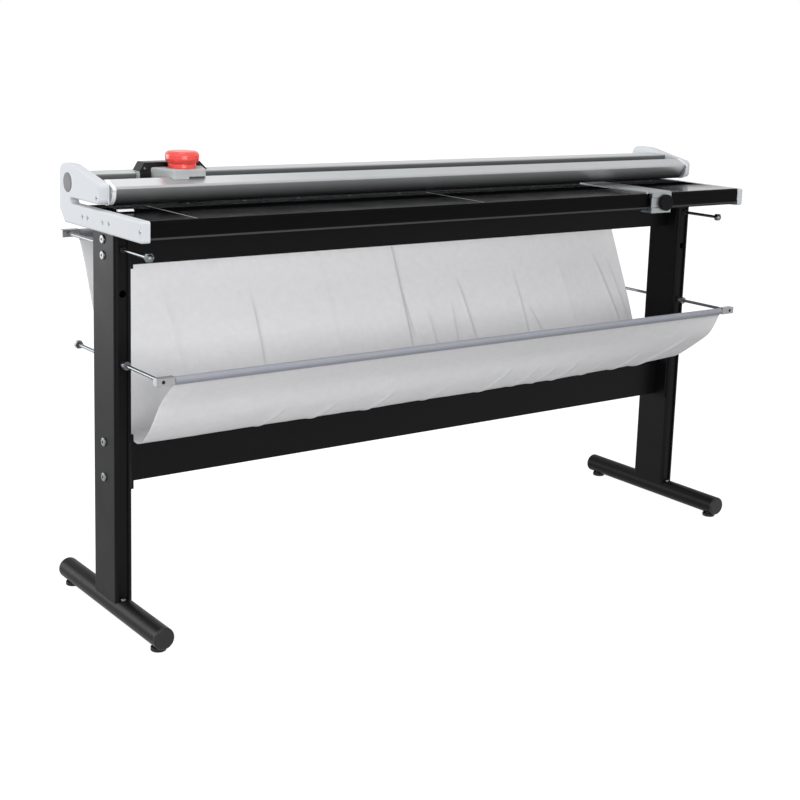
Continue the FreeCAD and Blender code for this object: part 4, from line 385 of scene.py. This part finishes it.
# Folds seen in the photograph: X and share of the way along the cloth at both ends, height, half width
LONG_FOLDS = (
    (22.0, 0.11, 22.0, 0.47, 7.0, 9.0), (40.0, 0.28, 48.0, 0.40, -4.0, 10.0),
    (-411.0, 0.27, -411.0, 0.46, 5.0, 8.0), (217.0, 0.28, 236.0, 0.48, 5.5, 9.0),
    (175.0, 0.34, 172.0, 0.45, 3.0, 8.0), (96.0, 0.36, 104.0, 0.47, 3.0, 8.0),
    (408.0, 0.28, 415.0, 0.52, 5.0, 9.0), (441.0, 0.38, 478.0, 0.50, 4.0, 8.0),
    (722.0, 0.25, 757.0, 0.47, 6.0, 9.0), (765.0, 0.26, 790.0, 0.46, 4.0, 10.0),
    (-640.0, 0.2, -620.0, 0.45, 2.0, 20.0), (-200.0, 0.15, -190.0, 0.46, 2.0, 20.0),
    (575.0, 0.22, 590.0, 0.47, 2.5, 18.0),
)
HEM_FOLDS = (
    (-525.0, 0.70, -486.0, 0.80, 3.2, 6.0), (-385.0, 0.70, -341.0, 0.80, 3.2, 6.0),
    (-234.0, 0.70, -187.0, 0.81, 3.4, 6.0), (113.0, 0.70, 162.0, 0.83, 3.4, 6.0),
    (221.0, 0.70, 261.0, 0.83, 3.0, 6.0), (287.0, 0.70, 319.0, 0.81, 2.8, 6.0),
    (356.0, 0.70, 389.0, 0.82, 3.0, 6.0), (570.0, 0.70, 613.0, 0.82, 3.2, 6.0),
    (645.0, 0.68, 745.0, 0.90, 4.2, 9.0), (-60.0, 0.69, -22.0, 0.79, 2.2, 6.0),
    (460.0, 0.69, 500.0, 0.80, 2.2, 6.0),
)
# Each set: its folds, 1 if they stand inwards or -1 if outwards, how far past their ends they are worked
# out, and the window in which they fade
FOLD_SETS = (
    (LONG_FOLDS, 1.0, 0.12, (-0.45, 1.25, 0.6)),
    (HEM_FOLDS, -1.0, 0.05, (-0.2, 1.2, 0.45)),
)
# Slack between the folds: the window along the cloth, its height, how fast its noise changes across and
# along, and its seed
SLACK = (
    ((0.05, 0.62, 0.22), 3.2, 0.0042, 1.3, 3.0),
    ((0.05, 0.62, 0.22), 1.4, 0.016, 4.0, 7.0),
    ((0.64, 0.97, 0.12), 2.2, 0.0065, 3.0, 11.0),
    ((0.64, 0.97, 0.12), 0.7, 0.03, 14.0, 17.0),
)


def hang_line(x):
    """The hung cloth's middle line at x, from the back bar down and up to the front bar, as (y, z)."""
    reach = x / CLOTH_HALF_WIDTH
    tight = max(0.0, reach) ** 3
    lift = 2.0 * (1.0 + reach) + 15.0 * tight
    return [
        (BAR_Y - 1.0, UPPER_ROD_Z - 11.0),
        (BAR_Y - 33.0, UPPER_ROD_Z - 73.0),
        (BAR_Y - 68.0, UPPER_ROD_Z - 153.0),
        (BAR_Y - 120.0, LOWER_ROD_Z - 27.0),
        (67.0, BEAM_TOP_Z + 46.0),
        (28.0, BEAM_TOP_Z + 11.0 + lift),
        (-22.0, BEAM_TOP_Z + 4.0 + lift),
        (-72.0 - 3.0 * tight, BEAM_TOP_Z + 1.0 + lift),
        (-122.0 - 18.0 * tight, BEAM_TOP_Z + 45.0 + 17.0 * tight),
        (-166.0 - 30.0 * tight, BEAM_TOP_Z + 106.0 + 2.0 * tight),
        (-BAR_Y + 3.0, LOWER_ROD_Z - 11.0),
    ]


def smooth_line(points, steps):
    """A rounded line through the points, with the given steps between neighbours."""
    ends = [points[0]] + list(points) + [points[-1]]
    line = []
    for i in range(1, len(ends) - 2):
        p0, p1, p2, p3 = (Vector(ends[i + k]) for k in (-1, 0, 1, 2))
        for k in range(steps):
            t = k / steps
            line.append(0.5 * ((2 * p1) + (p2 - p0) * t + (2 * p0 - 5 * p1 + 4 * p2 - p3) * t * t
                               + (3 * p1 - p0 - 3 * p2 + p3) * t * t * t))
    line.append(Vector(points[-1]))
    return line


def even_line(line, count):
    """The same line as count + 1 points at even distances."""
    lengths = [0.0]
    for a, b in zip(line, line[1:]):
        lengths.append(lengths[-1] + (b - a).length)
    points = []
    j = 0
    for i in range(count + 1):
        want = lengths[-1] * i / count
        while j < len(line) - 2 and lengths[j + 1] < want:
            j += 1
        t = (want - lengths[j]) / max(lengths[j + 1] - lengths[j], 1e-9)
        points.append(line[j].lerp(line[j + 1], min(max(t, 0.0), 1.0)))
    return points


def ridge(value):
    """A narrow fold with a crisp top."""
    return 1.0 / (1.0 + value * value * RIDGE_SHARPNESS)


def window(value, low, high, soft):
    """1 well inside low and high, falling softly to 0 at both."""
    rise = min(max((value - low) / soft, 0.0), 1.0)
    fall = min(max((high - value) / soft, 0.0), 1.0)
    return rise * rise * (3 - 2 * rise) * fall * fall * (3 - 2 * fall)


def fold_at(x, s):
    """How far the cloth stands off its line, towards the inside of the trough."""
    total = 0.0
    for folds, side, past, fade in FOLD_SETS:
        for x0, s0, x1, s1, height, half in folds:
            if s < s0 - past or s > s1 + past:
                continue
            t = (s - s0) / (s1 - s0)
            total += side * height * ridge((x - x0 - (x1 - x0) * t) / half) * window(t, *fade)
    for where, height, across, along, seed in SLACK:
        total += window(s, *where) * height * noise.noise(Vector((x * across, s * along, seed)))
    return total


def crease_at(x, s):
    """How much painted shade the cloth gets at the far side of a fold, from 0 to 1."""
    if s <= 0.0 or s >= 1.0:
        return 0.0
    slope = (fold_at(x + CREASE_REACH, s) - fold_at(x - CREASE_REACH, s)) / (2 * CREASE_REACH)
    side = -slope if s < FRONT_FROM else slope
    return min(1.0, max(0.0, side - CREASE_LEAST_SLOPE) * CREASE_SHADE)


def around_bar(bar, seam):
    """Points of the sleeve from the seam once round the bar and back to the seam."""
    centre = Vector(bar)
    down = Vector(seam) - centre
    base = math.atan2(down.y, down.x)
    opening = math.acos(min(1.0, SLEEVE_RADIUS / down.length))
    points = []
    for i in range(SLEEVE_STEPS + 1):
        angle = base - (opening + (2 * math.pi - 2 * opening) * i / SLEEVE_STEPS)
        points.append(centre + SLEEVE_RADIUS * Vector((math.cos(angle), math.sin(angle))))
    return points


def cloth_column(x):
    """The cloth's line at x with its folds, and at both ends a sleeve and the hem that closes it."""
    line = even_line(smooth_line(hang_line(x), LINE_STEPS), ROWS)
    points = []
    for i, point in enumerate(line):
        before = line[max(i - 1, 0)]
        after = line[min(i + 1, ROWS)]
        along = (after - before).normalized()
        inside = Vector((along.y, -along.x))
        points.append(point + inside * fold_at(x, i / ROWS))
    first = points[0]
    last = points[-1]
    back_loop = around_bar((BAR_Y, UPPER_ROD_Z), first)
    front_loop = around_bar((-BAR_Y, LOWER_ROD_Z), last)
    back_along = (points[4] - first).normalized()
    back_out = Vector((-back_along.y, back_along.x)) * HEM_GAP
    front_along = (points[-5] - last).normalized()
    front_in = Vector((-front_along.y, front_along.x)) * HEM_GAP
    back_hem = [first + back_out + back_along * HEM_LENGTH, first + back_out]
    front_hem = [last + front_in, last + front_in + front_along * HEM_LENGTH]
    return back_hem + back_loop[::-1] + points + front_loop + front_hem


def build_cloth():
    """The sheet with its cut pattern as UV, in metres, and the painted shade of its folds."""
    grid = bmesh.new()
    layer = grid.loops.layers.uv.new("cut")
    columns = []
    places = []
    fold_shades = []
    for i in range(COLUMNS + 1):
        x = -CLOTH_HALF_WIDTH + 2 * CLOTH_HALF_WIDTH * i / COLUMNS
        column = cloth_column(x)
        run = [0.0]
        for a, b in zip(column, column[1:]):
            run.append(run[-1] + (b - a).length)
        columns.append([grid.verts.new((x * MM, p.x * MM, p.y * MM)) for p in column])
        places.append([(x * MM, r * MM) for r in run])
        fold_shades.extend(crease_at(x, (j - SLEEVE_ROWS) / ROWS) for j in range(len(column)))
    count = len(columns[0])
    for i in range(COLUMNS):
        for j in range(count - 1):
            around = ((i, j), (i, j + 1), (i + 1, j + 1), (i + 1, j))
            face = grid.faces.new([columns[a][b] for a, b in around])
            face.smooth = True
            face.material_index = 1 if j < SLEEVE_ROWS or j >= count - SLEEVE_ROWS - 1 else 0
            for loop, (a, b) in zip(face.loops, around):
                loop[layer].uv = places[a][b]
    mesh = bpy.data.meshes.new("catch_cloth_sheet")
    grid.to_mesh(mesh)
    grid.free()
    shade = mesh.attributes.new("fold_shade", "FLOAT", "POINT")
    shade.data.foreach_set("value", fold_shades)
    mesh.materials.append(CLOTH)
    mesh.materials.append(SHADED_SLEEVE)
    piece = bpy.data.objects.new("catch_cloth_sheet", mesh)
    bpy.context.scene.collection.objects.link(piece)
    solid = piece.modifiers.new("thickness", "SOLIDIFY")
    solid.thickness = CLOTH_THICKNESS * MM
    solid.offset = 0.0
    return piece, places


cloth, cut = build_cloth()
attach(cloth, ROOT)
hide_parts("catch_cloth")

# Stage and light: floor and world look white, and light the object at the levels given here
FLOOR_REACH = 12.0
FLOOR_COLOUR = (0.27, 0.27, 0.27)
FLOOR_GLOW = 0.90
WORLD_LIGHT = 0.74
# Name, place, the point it looks at, its two sides and watts
LAMPS = (
    ("left", (-3.4, -1.4, 2.6), (0.0, 0.0, 0.7), (2.0, 1.6), 19.0),
    ("front_low", (-1.3, -3.3, 1.15), (-0.1, 0.1, 0.62), (1.8, 0.9), 55.0),
    ("back_left", (-2.9, 2.7, 0.95), (-0.8, 0.0, 0.6), (2.0, 1.7), 64.0),
    ("behind", (0.3, 1.6, 3.4), (-0.2, 0.0, 0.9), (1.5, 1.0), 7.0),
    ("top", (-0.8, -0.3, 3.4), (-0.3, 0.0, 0.9), (0.9, 0.7), 12.0),
)

# The camera of the photograph, solved from its straight edges; the photograph's sizes are in pixels
PHOTO_SIDE = 800.0
PHOTO_FOCAL = 1447.2036
PHOTO_CENTRE = (375.994, 305.023)
SENSOR_WIDTH = 36.0
CAMERA_PLACE = (-2.143876, -2.766712, 1.271545)
CAMERA_YAW = math.radians(35.75116)
CAMERA_PITCH = math.radians(-10.55108)
CAMERA_ROLL = math.radians(1.65335)
CAMERA_FAR = 60.0


def seen_rays(tree):
    """1 for rays that show the background: camera, glossy and transmission rays."""
    path = tree.nodes.new("ShaderNodeLightPath").outputs
    direct = calculate(tree, "MAXIMUM", path["Is Camera Ray"], path["Is Glossy Ray"])
    return calculate(tree, "MAXIMUM", direct, path["Is Transmission Ray"])


def add_stage():
    """A floor that keeps the object's shadow and glows for the rays that show the background."""
    mesh = bpy.data.meshes.new("floor")
    corners = [(x * FLOOR_REACH, y * FLOOR_REACH, 0) for x, y in ((-1, -1), (1, -1), (1, 1), (-1, 1))]
    mesh.from_pydata(corners, [], [(0, 1, 2, 3)])
    floor = bpy.data.objects.new("floor", mesh)
    bpy.context.scene.collection.objects.link(floor)
    material, tree, shader = new_material("floor_white", FLOOR_COLOUR, 0.9, specular=0.0)
    glow = tree.nodes.new("ShaderNodeEmission")
    glow.inputs["Strength"].default_value = FLOOR_GLOW
    nothing = tree.nodes.new("ShaderNodeEmission")
    nothing.inputs["Strength"].default_value = 0.0
    choose = tree.nodes.new("ShaderNodeMixShader")
    tree.links.new(seen_rays(tree), choose.inputs[0])
    tree.links.new(nothing.outputs[0], choose.inputs[1])
    tree.links.new(glow.outputs[0], choose.inputs[2])
    both = tree.nodes.new("ShaderNodeAddShader")
    tree.links.new(shader.outputs[0], both.inputs[0])
    tree.links.new(choose.outputs[0], both.inputs[1])
    tree.links.new(both.outputs[0], tree.nodes["Material Output"].inputs["Surface"])
    mesh.materials.append(material)


def add_world():
    world = bpy.data.worlds.new("studio")
    bpy.context.scene.world = world
    world.use_nodes = True
    tree = world.node_tree
    background = tree.nodes["Background"]
    background.inputs["Color"].default_value = (1.0, 1.0, 1.0, 1.0)
    strength = span(tree, seen_rays(tree), 0.0, 1.0, WORLD_LIGHT, 1.0)
    tree.links.new(strength, background.inputs["Strength"])


def add_lamp(name, place, target, sides, watts):
    light = bpy.data.lights.new(name, "AREA")
    light.shape = "RECTANGLE"
    light.size, light.size_y = sides
    light.energy = watts
    lamp = bpy.data.objects.new(name, light)
    bpy.context.scene.collection.objects.link(lamp)
    lamp.location = place
    lamp.rotation_euler = (Vector(target) - Vector(place)).to_track_quat("-Z", "Y").to_euler()
    lamp.visible_camera = False


def add_camera():
    camera = bpy.data.cameras.new("photo_camera")
    camera.sensor_fit = "HORIZONTAL"
    camera.sensor_width = SENSOR_WIDTH
    camera.lens = PHOTO_FOCAL / PHOTO_SIDE * SENSOR_WIDTH
    camera.shift_x = (PHOTO_SIDE / 2 - PHOTO_CENTRE[0]) / PHOTO_SIDE
    camera.shift_y = (PHOTO_CENTRE[1] - PHOTO_SIDE / 2) / PHOTO_SIDE
    camera.clip_end = CAMERA_FAR
    holder = bpy.data.objects.new("photo_camera", camera)
    bpy.context.scene.collection.objects.link(holder)
    level = math.cos(CAMERA_PITCH)
    forward = Vector((math.sin(CAMERA_YAW) * level, math.cos(CAMERA_YAW) * level, math.sin(CAMERA_PITCH)))
    right = Vector((math.cos(CAMERA_YAW), -math.sin(CAMERA_YAW), 0.0))
    up = right.cross(forward)
    rolled_right = right * math.cos(CAMERA_ROLL) + up * math.sin(CAMERA_ROLL)
    rolled_up = -right * math.sin(CAMERA_ROLL) + up * math.cos(CAMERA_ROLL)
    turn = Matrix((rolled_right, rolled_up, -forward)).transposed()
    holder.matrix_world = Matrix.Translation(CAMERA_PLACE) @ turn.to_4x4()
    bpy.context.scene.camera = holder


add_stage()
add_world()
for lamp in LAMPS:
    add_lamp(*lamp)
add_camera()
bpy.context.scene.view_settings.view_transform = "Standard"
